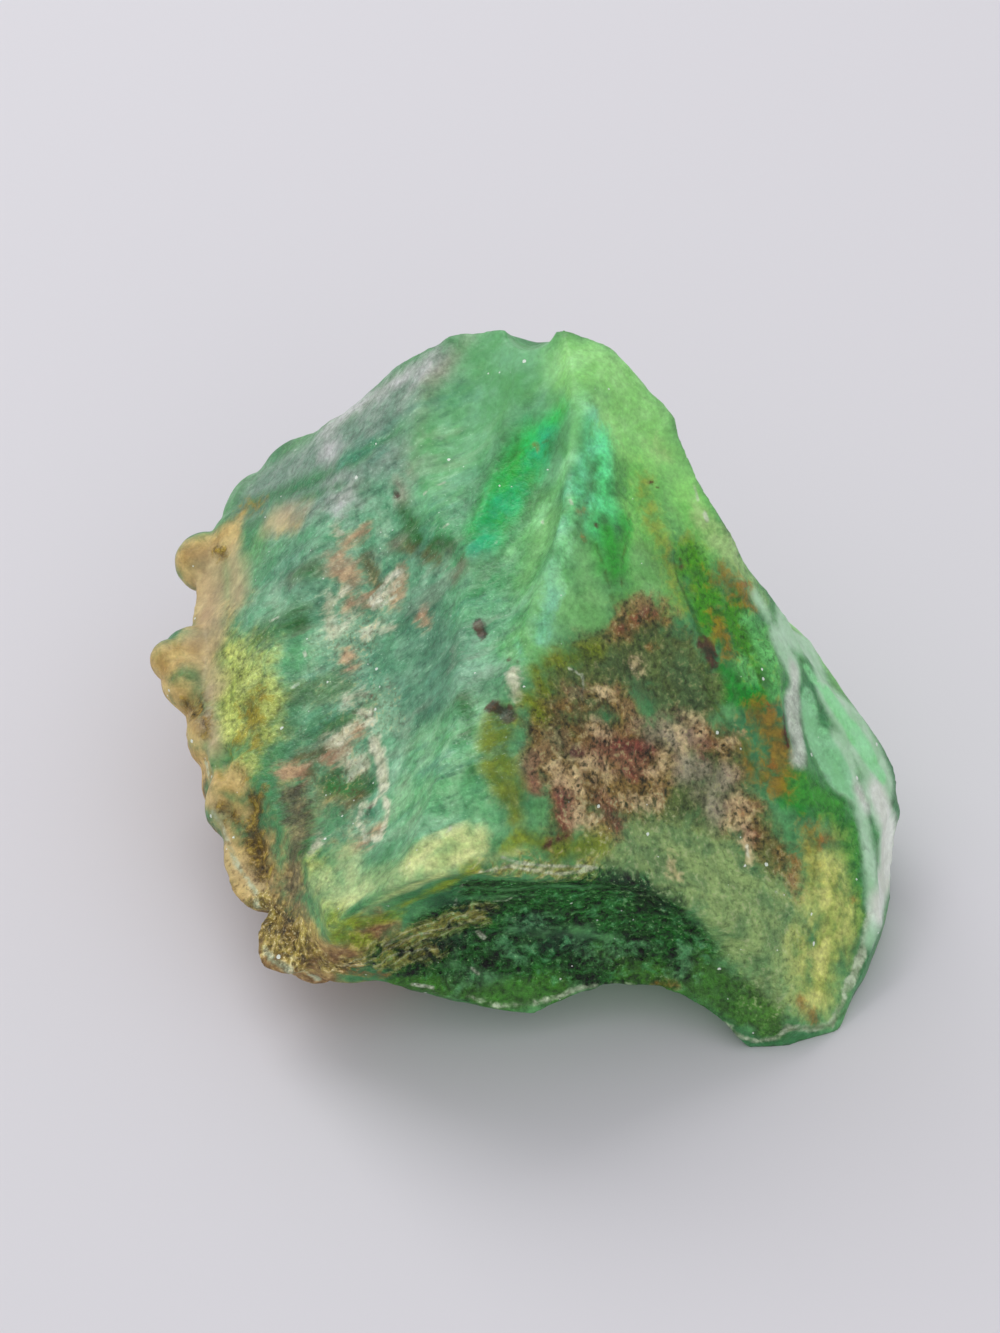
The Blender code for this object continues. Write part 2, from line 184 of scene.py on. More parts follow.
# Marks are placed as the camera sees them, in steps of VIEW_STEP across and down its picture; a mark
# with three numbers is a place in mm in the stone's own frame. Each is dropped on the skin.
#
# Paint layers, in the order they lie: two tones, softness and raggedness of the edge in mm, the grain
# that breaks the edge, how far it covers, and its strokes: a reach in mm, then the places it runs through.
LAYERS = {
    "rind": (("#85653f", "#ad8f58"), 0.5, 1.4, "patchy", 1.0, ()),
    "left_face": (("#68ad86", "#8fc19b"), 1.4, 3.0, "broad", 0.85, (
        (3.0, (300, 600), (420, 560)), (3.0, (350, 700), (460, 640)), (2.2, (380, 800), (450, 760)),
        (2.4, (340, 500), (420, 460)),
    )),
    # The rear slope's grey-green, paled partly by a painted sheen where its grazing faces catch the bright
    # room.
    "rear_face": (("#71937f", "#8a9e8e"), 0.8, 1.6, "broad", 0.9, (
        (1.4, (262, 490), (345, 445), (440, 385)), (1.0, (300, 505), (400, 450)),
        (0.5, (440, 385), (466, 356)),
    )),
    # Painted sheen: pale grey along the rear edge, where its grazing faces reflect the bright room.
    "rear_edge_sheen": (("#b7bbb3", "#cccbca"), 0.6, 1.0, "patchy", 0.8, (
        (0.5, (268, 458), (330, 425), (375, 396), (440, 362)),
    )),
    "rear_rose": (("#a09a84", "#a8a790"), 0.35, 0.8, "patchy", 0.75, (
        (0.3, (470, 342), (452, 362), (432, 384)), (0.2, (432, 384), (424, 420), (420, 450)),
        (0.26, (424, 440), (412, 470)), (0.24, (398, 484), (404, 502)),
    )),
    "rear_streak": (("#137732", "#1b7e42"), 0.4, 1.2, "patchy", 0.85, (
        (0.36, (250, 505), (290, 490), (330, 472), (366, 452)), (0.16, (366, 452), (400, 428)),
        (0.2, (300, 500), (340, 486)),
    )),
    "pale_break": (("#4da064", "#60af73"), 1.0, 2.0, "broad", 0.85, (
        (1.2, (478, 600), (510, 560)), (1.0, (535, 590), (510, 640)), (1.0, (430, 500), (470, 450)),
        (0.9, (470, 560), (440, 530)), (1.8, (-1.0, 8.6, 15.0), (1.5, 9.8, 12.0)),
        (1.3, (-5.0, 12.0, 9.5), (-3.5, 12.0, 7.5)),
    )),
    "mint": (("#64af71", "#77ba81"), 1.0, 1.4, "broad", 0.95, (
        (1.3, (492, 356), (530, 366), (566, 376)), (1.6, (450, 440), (500, 395)),
        (1.0, (440, 480), (468, 450)), (0.8, (550, 400), (575, 420), (560, 470)),
    )),
    "lime": (("#8cdc77", "#a9e78d"), 0.9, 1.4, "broad", 0.95, (
        (1.2, (575, 360), (620, 380), (650, 430)), (1.0, (640, 410), (672, 460), (690, 505)),
        (0.8, (610, 420), (640, 460)), (0.5, (570, 392), (600, 400)),
        (1.3, (3.4, 5.2, 17.0), (5.6, 5.0, 14.0)), (0.9, (9.5, 3.0, 8.5), (11.0, 1.5, 6.0)),
    )),
    "right_upper": (("#70ce5b", "#93d86e"), 0.8, 2.0, "patchy", 0.85, (
        (1.1, (640, 480), (645, 540), (655, 590)), (0.8, (688, 500), (700, 550)),
    )),
    "grey_fan": (("#4f863a", "#619143"), 0.5, 1.4, "patchy", 0.8, (
        (0.6, (648, 560), (652, 595)), (0.4, (590, 600), (606, 640)), (0.3, (640, 600), (620, 605)),
    )),
    "bright_fan": (("#55de7e", "#69ee94"), 0.45, 1.0, "patchy", 0.9, (
        (0.34, (600, 440), (603, 470), (606, 500)), (0.4, (606, 500), (612, 520)),
        (0.25, (600, 500), (594, 530)),
    )),
    "fan_low": (("#2a9526", "#38a831"), 0.4, 1.0, "patchy", 0.9, (
        (0.4, (608, 530), (614, 575)), (0.25, (624, 520), (624, 580)), (0.2, (594, 545), (600, 570)),
    )),
    "turquoise_high": (("#72f3aa", "#86f3b9"), 0.4, 0.9, "patchy", 0.75, (
        (0.3, (588, 420), (588, 450), (580, 490)), (0.2, (578, 490), (568, 520)),
    )),
    "emerald": (("#1ebb4a", "#2aca57"), 0.55, 0.7, "patchy", 0.92, (
        (0.4, (560, 412), (545, 430)), (0.75, (534, 446), (516, 476)), (0.7, (510, 484), (486, 528)),
    )),
    "emerald_deep": (("#17a070", "#22aa86"), 0.5, 0.8, "patchy", 0.55, (
        (0.3, (548, 440), (528, 466), (512, 492)), (0.4, (505, 500), (490, 520), (478, 545)),
    )),
    "saddle": (("#71bc69", "#8cca7d"), 0.8, 1.4, "broad", 0.9, (
        (0.8, (552, 600), (590, 620)), (0.6, (520, 640), (545, 655)), (0.6, (545, 525), (525, 580)),
        (0.5, (585, 560), (590, 600)), (0.5, (640, 560), (650, 600)),
        (1.4, (6.0, 8.0, 9.0), (7.5, 7.0, 6.5)),
    )),
    "turquoise": (("#70cb9d", "#8bd9ae"), 0.25, 0.7, "patchy", 0.75, (
        (0.18, (566, 520), (562, 560), (552, 600)), (0.16, (552, 600), (540, 640)),
        (0.12, (524, 660), (516, 640)),
    )),
    "ridge_pale": (("#84d686", "#9ae198"), 0.3, 0.6, "patchy", 0.8, (
        (0.26, (582, 398), (575, 430), (567, 462)), (0.24, (567, 462), (546, 508)),
        (0.2, (546, 508), (508, 554)), (0.16, (571, 500), (568, 545)), (0.26, (566, 540), (561, 580)),
    )),
    # Painted glow: paler yellow-green where light shines through the thin upper right edges.
    "glow": (("#98c470", "#afcf85"), 0.45, 1.2, "patchy", 0.85, (
        (0.4, (700, 520), (722, 545), (742, 572)), (0.2, (655, 440), (668, 455)),
        (0.3, (722, 530), (750, 580)), (0.16, (750, 585), (764, 606)),
    )),
    "olive_slant": (("#768c2b", "#909a36"), 0.4, 1.2, "fine", 0.75, (
        (0.22, (645, 478), (650, 510)), (0.3, (652, 515), (668, 560)), (0.34, (668, 560), (680, 600)),
        (0.2, (690, 540), (700, 580)),
    )),
    "right_green": (("#2f8a08", "#489408"), 0.55, 1.8, "patchy", 0.92, (
        (0.6, (690, 560), (712, 615)), (0.8, (735, 620), (755, 680)), (0.4, (760, 640), (772, 680)),
        (1.1, (9.0, 5.5, 4.5), (11.0, 3.5, 2.5)), (0.9, (-4.5, 12.2, 5.5), (-5.0, 12.0, 3.0)),
    )),
    "green_skin": (("#5bb962", "#75c971"), 0.35, 1.4, "patchy", 0.85, (
        (0.34, (752, 620), (764, 650), (776, 690)), (0.3, (738, 660), (750, 680)),
        (2.2, (1.0, 11.4, 9.0), (3.5, 10.6, 6.5)), (1.6, (-3.0, 11.0, 12.0), (-1.0, 10.4, 12.0)),
    )),
    "emerald_patch": (("#058518", "#05941f"), 0.35, 1.2, "patchy", 0.95, (
        (0.42, (728, 692), (758, 702)), (0.42, (800, 782), (836, 806)), (0.3, (785, 790), (800, 810)),
        (0.2, (722, 668), (735, 680)),
    )),
    "right_band": (("#25822a", "#43922e"), 0.4, 1.5, "patchy", 0.92, (
        (0.6, (795, 780), (836, 812), (852, 850)), (0.3, (850, 845), (856, 890), (858, 925)),
    )),
    "olive_right": (("#796106", "#966f0c"), 0.4, 1.3, "fine", 0.8, (
        (0.4, (722, 578), (748, 600)), (0.5, (758, 712), (776, 735), (782, 765)),
        (0.4, (765, 770), (780, 785)), (0.3, (715, 620), (728, 650)), (0.3, (810, 830), (816, 870)),
        (0.26, (735, 742), (752, 770)), (0.7, (-5.2, 11.9, 8.0), (-5.0, 12.2, 5.0), (-4.6, 11.4, 2.0)),
    )),
    "lower_right": (("#72975a", "#98af69"), 0.8, 1.8, "patchy", 0.9, (
        (1.5, (640, 850), (720, 880), (765, 935)), (1.0, (600, 830), (680, 830), (720, 850)),
        (0.8, (745, 940), (775, 1000)), (0.7, (770, 880), (790, 930)),
    )),
    "yellow_streak": (("#a8b850", "#ccce70"), 0.75, 1.5, "patchy", 0.88, (
        (0.6, (830, 870), (830, 930), (822, 990)), (0.35, (812, 850), (812, 900)),
        (0.3, (800, 940), (808, 1000)), (0.3, (846, 900), (848, 950)), (0.3, (832, 840), (830, 870)),
    )),
    "yellow_core": (("#c4ca58", "#dedc84"), 0.3, 0.9, "patchy", 0.6, (
        (0.24, (820, 940), (816, 1000)), (0.16, (838, 870), (826, 900)), (0.14, (812, 920), (806, 950)),
        (0.14, (842, 890), (836, 960)),
    )),
    "patch_ground": (("#4e6028", "#647237"), 0.5, 1.8, "patchy", 0.92, (
        (1.2, (600, 660), (660, 655), (690, 695)), (1.0, (565, 690), (600, 690)),
        (0.7, (635, 630), (655, 628)), (1.3, (550, 740), (640, 755), (710, 760)),
        (1.0, (575, 790), (640, 790), (720, 800)), (0.7, (750, 825), (775, 855)),
        (0.5, (553, 815), (560, 838)), (1.7, (-3.0, 11.8, 4.5), (0.5, 11.4, 5.5), (3.6, 10.4, 3.6)),
        (0.9, (6.4, 6.0, 12.0), (6.6, 7.2, 10.0), (7.0, 7.0, 7.6)),
    )),
    "brown": (("#7e5c2f", "#9d7b40"), 0.5, 1.8, "patchy", 0.82, (
        (0.9, (545, 740), (600, 738), (650, 755)), (0.9, (560, 775), (610, 790), (650, 775)),
        (0.5, (690, 725), (722, 750)), (0.4, (735, 775), (748, 800)),
        (0.3, (618, 630), (645, 614), (668, 620)), (0.5, (545, 712), (590, 702), (625, 705)),
        (0.45, (590, 815), (612, 822)), (0.4, (735, 815), (755, 838)), (0.25, (780, 850), (795, 880)),
        (1.1, (-0.6, 11.7, 5.2), (1.4, 11.2, 5.0), (3.4, 10.4, 3.4)),
        (0.5, (6.4, 6.0, 11.6), (6.6, 7.0, 10.4)),
    )),
    "rose_brown": (("#7e4d3a", "#976850"), 0.4, 1.3, "patchy", 0.75, (
        (0.5, (600, 745), (640, 760)), (0.35, (560, 790), (575, 820)), (0.3, (525, 768), (538, 790)),
        (0.3, (600, 800), (620, 825)), (0.2, (690, 715), (710, 745)),
    )),
    "maroon": (("#5f2727", "#7d3a31"), 0.3, 0.9, "fine", 0.8, (
        (0.24, (617, 746), (648, 750)), (0.22, (562, 795), (565, 832)), (0.16, (566, 836), (545, 846)),
        (0.12, (522, 765), (530, 780)), (0.12, (700, 755), (706, 762)), (0.16, (622, 628), (628, 632)),
        (0.12, (640, 616), (655, 612)), (0.14, (575, 752), (585, 752)), (0.16, (610, 815), (618, 826)),
        (0.16, (748, 832), (755, 838)), (0.14, (628, 770), (640, 778)),
    )),
    "slate": (("#948c74", "#aba28a"), 0.5, 1.2, "patchy", 0.8, (
        (0.5, (690, 770), (725, 780)), (0.4, (650, 735), (680, 735)), (0.34, (700, 795), (716, 812)),
    )),
    "patch_dark": (("#3d5a31", "#4e6b3c"), 0.45, 1.4, "fine", 0.85, (
        (0.6, (680, 668), (696, 702)), (0.35, (640, 690), (690, 714)), (0.35, (575, 688), (592, 704)),
        (0.3, (600, 662), (640, 672)), (0.3, (556, 728), (566, 752)),
    )),
    "tan": (("#d6b984", "#e6cc9c"), 0.3, 1.0, "fine", 0.6, (
        (0.4, (556, 768), (574, 780)), (0.2, (676, 730), (682, 744)), (0.3, (578, 815), (592, 826)),
        (0.3, (585, 762), (604, 776)), (0.4, (738, 804), (744, 816)), (0.2, (732, 820), (738, 832)),
        (0.2, (598, 690), (612, 696)), (0.24, (625, 802), (655, 802)), (0.14, (747, 838), (748, 860)),
        (0.2, (502, 790), (512, 796)), (0.2, (672, 862), (676, 874)), (0.24, (655, 772), (668, 760)),
        (0.2, (594, 728), (606, 734)), (0.16, (692, 720), (700, 730)), (0.16, (725, 745), (735, 735)),
        (0.16, (632, 660), (640, 668)), (0.5, (0.4, 11.5, 5.2), (1.6, 11.2, 4.4)),
        (0.3, (2.8, 10.7, 3.8), (3.2, 10.5, 3.4)),
    )),
    "blue_teal": (("#40795b", "#518a67"), 0.9, 1.6, "drift", 0.85, (
        (1.1, (415, 620), (440, 660), (430, 710)), (0.6, (392, 682), (410, 702)),
        (0.5, (290, 560), (320, 600)), (0.4, (360, 640), (385, 660)),
        (1.5, (-2.5, 11.2, 10.5), (0.5, 11.4, 9.0)), (1.0, (5.0, 9.4, 4.0), (7.0, 7.5, 2.5)),
    )),
    "left_olive": (("#416c37", "#557d41"), 0.5, 1.5, "drift", 0.75, (
        (0.7, (300, 692), (350, 680)), (0.5, (330, 722), (365, 712)), (0.4, (255, 632), (300, 612)),
        (0.3, (400, 540), (430, 548)), (0.3, (268, 700), (290, 730)),
    )),
    "bright_teal": (("#66b776", "#89c588"), 0.8, 1.6, "drift", 0.85, (
        (1.0, (405, 800), (450, 780), (490, 760)), (0.7, (420, 750), (470, 730)),
        (0.5, (480, 800), (490, 830)), (0.4, (260, 650), (300, 655)),
    )),
    "dark_green": (("#125f17", "#186a1f"), 0.35, 1.0, "drift", 0.92, (
        (0.34, (404, 512), (420, 540)), (0.5, (332, 785), (366, 790)), (0.2, (300, 738), (350, 710)),
        (0.2, (255, 640), (300, 625)), (0.2, (420, 540), (450, 545)), (0.16, (462, 700), (470, 730)),
        (0.3, (305, 810), (300, 850)), (0.16, (470, 760), (474, 775)), (0.16, (295, 575), (315, 570)),
    )),
    "olive_veil": (("#494416", "#5a531f"), 0.3, 0.9, "silk", 0.8, (
        (0.36, (368, 560), (378, 585)), (0.2, (395, 545), (440, 560)), (0.2, (462, 562), (454, 580)),
        (0.3, (295, 758), (325, 750)), (0.2, (345, 805), (360, 795)), (0.2, (300, 780), (312, 770)),
    )),
    "brown_veil": (("#a97f5e", "#c59a78"), 0.3, 1.0, "silk", 0.8, (
        (0.42, (338, 562), (352, 585)), (0.3, (350, 605), (375, 600)), (0.3, (395, 600), (400, 570)),
        (0.3, (345, 655), (352, 668)), (0.26, (345, 545), (362, 530)), (0.3, (330, 760), (345, 745)),
        (0.3, (360, 730), (340, 740)), (0.3, (285, 770), (300, 775)), (0.25, (380, 830), (350, 850)),
        (0.22, (420, 613), (428, 618)),
    )),
    "whitish": (("#b9bb98", "#d6d5ba"), 0.22, 0.9, "silk", 0.75, (
        (0.2, (330, 595), (328, 612), (334, 632)), (0.16, (346, 622), (360, 606)),
        (0.24, (340, 742), (330, 738)), (0.2, (345, 762), (352, 768)), (0.3, (352, 770), (364, 762)),
        (0.24, (346, 700), (362, 694)), (0.16, (358, 710), (370, 722)),
        (0.14, (362, 636), (378, 626), (392, 628)), (0.2, (212, 688), (208, 712), (214, 738)),
        (0.12, (340, 532), (338, 530)), (0.12, (380, 598), (400, 574)), (0.14, (312, 860), (318, 838)),
        (0.14, (405, 868), (416, 858)),
    )),
    "cream_loop": (("#c8c8a4", "#deddc0"), 0.14, 0.35, "fine", 0.85, (
        (0.27, (374, 742), (381, 762), (384, 786)), (0.12, (384, 786), (376, 802), (362, 806)),
        (0.1, (362, 806), (358, 822), (368, 838), (380, 838)), (0.12, (385, 790), (388, 812), (380, 838)),
        (0.2, (338, 740), (352, 728)), (0.12, (362, 712), (372, 722)), (0.12, (386, 580), (398, 572)),
        (0.24, (512, 672), (516, 694)), (0.12, (372, 602), (384, 596)), (0.14, (366, 722), (371, 714)),
        (0.1, (348, 586), (340, 596)),
    )),
    "yellow_green": (("#acb84a", "#cad068"), 0.7, 1.6, "patchy", 0.8, (
        (1.0, (236, 672), (264, 704)), (0.8, (226, 694), (238, 728)), (0.5, (262, 722), (268, 740)),
        (0.3, (245, 755), (250, 765)), (0.3, (322, 905), (335, 925)), (0.3, (315, 870), (322, 885)),
        (0.5, (222, 652), (262, 655)), (0.6, (-6.0, 12.0, 8.5), (-5.4, 12.3, 6.5)),
        (0.5, (8.0, 7.2, 4.5), (9.0, 6.0, 3.0)),
    )),
    "patch_rim": (("#5f7a0c", "#7f8a18"), 0.35, 0.6, "patchy", 0.92, (
        (0.62, (500, 724), (497, 748), (500, 772), (508, 790)), (0.3, (512, 800), (516, 818)),
        (0.3, (545, 664), (596, 650)), (0.4, (600, 842), (560, 852)), (0.3, (535, 670), (545, 690)),
        (0.26, (520, 835), (545, 845)), (0.3, (530, 700), (540, 715)),
    )),
    "moss_dark": (("#756905", "#8e7a08"), 0.35, 1.4, "fine", 0.8, (
        (0.42, (250, 704), (254, 728)), (0.24, (258, 726), (256, 742)), (0.2, (256, 694), (262, 698)),
        (0.2, (240, 740), (232, 745)), (0.2, (243, 508), (262, 502)),
    )),
    "lip_veil": (("#9cc07e", "#bece8e"), 0.6, 1.2, "drift", 0.85, (
        (0.6, (350, 890), (390, 876), (430, 860)), (0.4, (410, 876), (470, 850)),
        (0.4, (345, 850), (352, 880)), (0.4, (320, 880), (340, 896)),
    )),
    "lip": (("#c5da88", "#ebeda1"), 0.3, 0.8, "drift", 0.8, (
        (0.26, (408, 866), (430, 846), (462, 834)), (0.2, (430, 864), (484, 846)),
        (0.14, (340, 906), (395, 894), (440, 876)), (0.2, (462, 846), (482, 836)),
        (0.1, (480, 862), (520, 850)),
    )),
    # The front hollow: the stone's dark green, painted darker still as a painted shade under the brow.
    "hollow": (("#155016", "#24671f"), 0.3, 0.8, "patchy", 0.97, (
        (1.0, (440, 925), (520, 908), (600, 908), (650, 930)), (1.0, (480, 950), (590, 965), (670, 962)),
        (0.8, (600, 893), (660, 908), (695, 950)), (0.7, (385, 955), (440, 955)),
        (0.5, (470, 885), (560, 882), (640, 888)), (0.4, (470, 892), (540, 891), (604, 892)),
        (0.5, (400, 970), (470, 978)),
    )),
    # Painted shade: nearly black green in the deepest parts of the front hollow.
    "hollow_deep_shade": (("#03240f", "#05301a"), 0.5, 1.6, "patchy", 0.8, (
        (0.6, (530, 925), (575, 945)), (0.5, (425, 950), (455, 940)), (0.4, (620, 880), (660, 905)),
        (0.3, (440, 900), (470, 910)),
    )),
    "hollow_green": (("#2e6113", "#3e7519"), 0.4, 1.1, "patchy", 0.9, (
        (0.55, (400, 985), (440, 990), (510, 994), (560, 989)), (0.5, (630, 972), (690, 985), (740, 1015)),
        (0.6, (700, 965), (750, 1005), (775, 1028)), (0.3, (600, 955), (660, 970)),
    )),
    "hollow_mist": (("#3f7d4c", "#5c9163"), 0.35, 1.3, "fine", 0.6, (
        (0.3, (500, 945), (520, 955)), (0.26, (610, 950), (640, 945)), (0.3, (520, 925), (540, 920)),
        (0.24, (455, 985), (480, 975)), (0.3, (690, 950), (680, 975)), (0.2, (580, 945), (600, 960)),
    )),
    "brow_green": (("#628716", "#8c9d26"), 0.3, 0.9, "patchy", 0.9, (
        (0.32, (330, 918), (362, 924), (390, 916)), (0.3, (338, 936), (366, 940)),
        (0.16, (400, 905), (440, 888), (470, 872)), (0.16, (500, 848), (520, 842)),
    )),
    "laminae": (("#787a32", "#a99748"), 0.4, 1.4, "fine", 0.7, (
        (0.4, (358, 962), (392, 946), (440, 926), (480, 914)), (0.3, (380, 965), (430, 952)),
        (0.26, (480, 870), (540, 868), (590, 868)),
    )),
    "fibre": (("#5b5839", "#7d704e"), 0.35, 1.0, "silk", 0.85, (
        (0.5, (294, 795), (300, 840), (294, 885)), (0.26, (300, 890), (300, 905)),
    )),
    "rind_edge": (("#bf9e58", "#d7b778"), 0.5, 1.0, "patchy", 0.92, (
        (0.8, (186, 555), (226, 538)), (0.7, (196, 580), (205, 620)), (0.8, (165, 665), (190, 652)),
        (0.6, (178, 695), (196, 730)), (0.6, (215, 778), (235, 785)), (0.5, (222, 798), (236, 812)),
        (0.3, (226, 826), (230, 850)), (1.3, (-12.7, 2.5, 6.0)), (1.4, (-12.0, 7.6, 6.6)),
        (1.2, (-12.0, 0.0, 5.2)), (1.0, (-11.5, -1.5, 4.8)), (0.4, (232, 860), (250, 885)),
        (0.4, (204, 760), (212, 800)), (0.2, (230, 522), (240, 518)), (0.2, (285, 524), (298, 524)),
    )),
    "rind_rose": (("#bba37a", "#c7b287"), 0.6, 1.0, "broad", 0.8, (
        (0.9, (212, 575), (212, 640)), (0.5, (232, 556), (238, 600)), (0.6, (206, 660), (214, 690)),
        (0.3, (206, 720), (214, 745)), (0.16, (212, 800), (226, 850), (262, 892)),
        (0.3, (270, 520), (300, 516)),
    )),
    "nodule": (("#857224", "#aa9644"), 0.35, 1.2, "fine", 0.92, (
        (0.9, (275, 930), (300, 945)), (0.5, (262, 905), (270, 915)), (0.4, (325, 965), (345, 965)),
    )),
    # Olive-brown stain in the rind's pits, darkened in part as a painted shade in the pits.
    "olive_pits": (("#54400a", "#7a6218"), 0.3, 1.0, "fine", 0.9, (
        (0.44, (256, 800), (254, 840), (264, 872)), (0.2, (222, 810), (236, 820)),
        (0.16, (200, 700), (206, 730)), (0.14, (284, 928), (292, 935)), (0.14, (186, 705), (196, 715)),
        (0.12, (238, 770), (244, 780)), (0.14, (218, 550), (224, 556)),
    )),
    # Painted light: pale thin rims along the lower edges, where the thin edge lets light through.
    "rim": (("#97a883", "#c0ccae"), 0.1, 0.25, "fine", 0.8, (
       
        (0.06, (400, 996), (446, 1000), (470, 996), (500, 1007), (543, 1001), (588, 986), (628, 984),
         (655, 988)),
        (0.09, (655, 988), (680, 1000), (717, 1018), (737, 1034), (754, 1041), (777, 1038), (789, 1027)),
        (0.12, (789, 1027), (812, 1030), (832, 1024), (843, 1002), (846, 985), (860, 962), (868, 935)),
        (0.2, (850, 985), (862, 955), (870, 915)),
        (0.12, (256, 902), (255, 935), (270, 958), (290, 971), (318, 979)),
        (0.08, (206, 763), (214, 814), (236, 863), (256, 893)),
    )),
    # Paler mint on the right end's facets: the stone's green with painted light where the facets catch the
    # light.
    "end_lit_skin": (("#a6d6ab", "#bbe0bc"), 0.25, 0.2, "broad", 0.95, (
        (0.8, (788, 625), (808, 652), (830, 690)), (0.24, (756, 596), (768, 616)),
        (1.0, (840, 702), (862, 742), (880, 778)), (0.5, (778, 638), (792, 664)),
        (0.35, (806, 712), (816, 748)), (0.35, (826, 762), (842, 784)), (0.45, (838, 740), (852, 772)),
        (0.3, (850, 790), (862, 808)), (0.8, (874, 790), (884, 815)),
        (0.4, (862, 815), (868, 845), (872, 880), (874, 905)), (0.85, (884, 830), (885, 860)),
        (0.7, (884, 878), (880, 905)), (0.35, (876, 918), (870, 940)),
    )),
    # Painted shade: the end's middle facets a little darker than the lit strip beside them.
    "end_shaded_facets": (("#84cc92", "#94d69e"), 0.12, 0.12, "broad", 0.92, (
        (0.4, (808, 698), (813, 738)), (0.6, (818, 742), (840, 776)), (0.3, (842, 780), (852, 792)),
    )),
    # Painted reflection: near white along the right end, where its grazing faces reflect the bright room.
    "end_pale_reflection": (("#dfe2d6", "#eef0e8"), 0.35, 0.2, "broad", 0.88, (
        (0.65, (878, 795), (886, 815)), (0.8, (886, 835), (887, 860)), (0.65, (885, 878), (880, 908)),
        (0.25, (858, 790), (866, 806)),
    )),
    # Painted light: a bright green strip where a facet of the end faces the light.
    "end_lit_facet": (("#88df95", "#9de8a6"), 0.14, 0.2, "broad", 0.95, (
        (0.16, (806, 668), (822, 690)), (0.36, (828, 694), (848, 724)), (0.46, (853, 732), (873, 762)),
        (0.34, (874, 766), (882, 776)),
    )),
    # Painted light: the narrow facet of the end painted pale grey, as it faces the light.
    "sliver": (("#bcc8b6", "#d4dccd"), 0.22, 0.12, "broad", 0.9, (
        (0.3, (794, 668), (794, 695)), (0.5, (794, 700), (796, 728)), (0.34, (797, 732), (799, 758)),
    )),
    "rust": (("#733f12", "#9c5c20"), 0.16, 0.5, "fine", 0.6, (
        (0.2, (800, 1002), (814, 1018)), (0.12, (828, 836), (832, 842)), (0.1, (853, 898), (856, 902)),
        (0.14, (820, 848), (824, 840)), (0.1, (743, 811), (744, 814)), (0.07, (534, 447), (536, 448)),
        (0.1, (651, 648), (653, 651)), (0.14, (795, 858), (800, 864)), (0.1, (656, 983), (676, 984)),
        (0.05, (578, 512), (588, 513)), (0.06, (582, 536), (584, 540)), (0.12, (770, 765), (776, 772)),
        (0.1, (740, 582), (748, 588)), (0.16, (345, 970), (385, 975)), (0.1, (720, 726), (728, 732)),
        (0.12, (770, 706), (778, 704)),
    )),
    "dark_spots": (("#2c1712", "#4c1f1a"), 0.1, 0.4, "fine", 0.9, (
        (0.2, (478, 622), (484, 636)), (0.26, (492, 706), (510, 714)), (0.24, (703, 642), (712, 656)),
        (0.14, (714, 664), (714, 670)), (0.1, (784, 716), (787, 745)),
        (0.06, (543, 848), (555, 840), (566, 836)), (0.05, (508, 660), (518, 662)),
        (0.08, (396, 492), (398, 497)), (0.07, (371, 806), (366, 822)), (0.04, (596, 523), (597, 524)),
        (0.04, (650, 482), (652, 484)), (0.04, (658, 486), (659, 488)), (0.05, (680, 560), (681, 568)),
        (0.06, (368, 694), (370, 697)), (0.05, (841, 1003), (843, 1004)), (0.05, (410, 518), (412, 520)),
        (0.1, (572, 752), (582, 754)), (0.12, (2.0, 11.0, 5.0), (2.3, 10.9, 4.6)),
        (0.1, (6.5, 6.8, 10.9), (6.6, 7.0, 10.6)),
    )),
    "veins": (("#2a5214", "#48641c"), 0.08, 0.2, "fine", 0.7, (
        (0.05, (596, 545), (606, 575), (612, 600)), (0.05, (630, 515), (622, 560), (622, 585)),
        (0.07, (674, 560), (680, 585), (692, 610), (702, 640)),
        (0.06, (708, 665), (708, 690), (716, 708), (728, 725), (744, 742), (750, 762), (766, 782)),
        (0.06, (817, 840), (815, 870), (812, 897)), (0.06, (790, 1030), (830, 1026), (846, 1010)),
        (0.04, (500, 470), (520, 450), (548, 440)), (0.05, (540, 690), (552, 712), (560, 725)),
        (0.06, (-1.5, 9.6, 13.6), (0.2, 10.6, 10.4), (1.4, 11.3, 7.6), (2.6, 11.0, 4.6)),
        (0.06, (6.4, 6.4, 11.4), (7.2, 7.2, 7.6), (7.4, 7.0, 4.0)),
    )),
    "pale_lines": (("#b9c2a4", "#dbe0ca"), 0.05, 0.05, "fine", 0.7, (
        (0.06, (424, 494), (445, 482)), (0.05, (502, 857), (516, 862), (543, 866), (579, 866), (597, 868)),
        (0.04, (455, 905), (462, 885), (480, 872), (510, 866), (530, 870), (560, 874), (592, 870)),
        (0.03, (344, 966), (385, 946), (422, 934), (458, 926)), (0.03, (350, 972), (395, 954), (430, 948)),
        (0.05, (694, 484), (698, 500)), (0.08, (704, 512), (708, 522)), (0.09, (412, 984), (432, 988)),
        (0.1, (478, 932), (484, 938)), (0.03, (494, 901), (506, 901), (512, 897)),
        (0.08, (338, 532), (342, 533)), (0.05, (747, 845), (748, 858)),
        (0.04, (568, 668), (584, 676), (582, 700)), (0.06, (448, 832), (452, 826)),
        (0.05, (406, 868), (410, 864)), (0.05, (472, 968), (480, 975)), (0.05, (268, 622), (282, 616)),
        (0.05, (776, 892), (778, 895)), (0.05, (570, 500), (572, 504)), (0.05, (443, 528), (448, 524)),
        (0.08, (542, 521), (546, 522)), (0.05, (494, 546), (496, 542)), (0.14, (374, 608), (380, 600)),
        (0.06, (505, 672), (512, 690)), (0.06, (304, 652), (306, 656)), (0.05, (292, 688), (298, 684)),
        (0.1, (372, 598), (384, 586)), (0.12, (392, 578), (402, 570)), (0.07, (380, 607), (396, 595)),
        (0.06, (-2.6, 11.4, 8.8), (-0.4, 11.6, 8.0)),
    )),
}

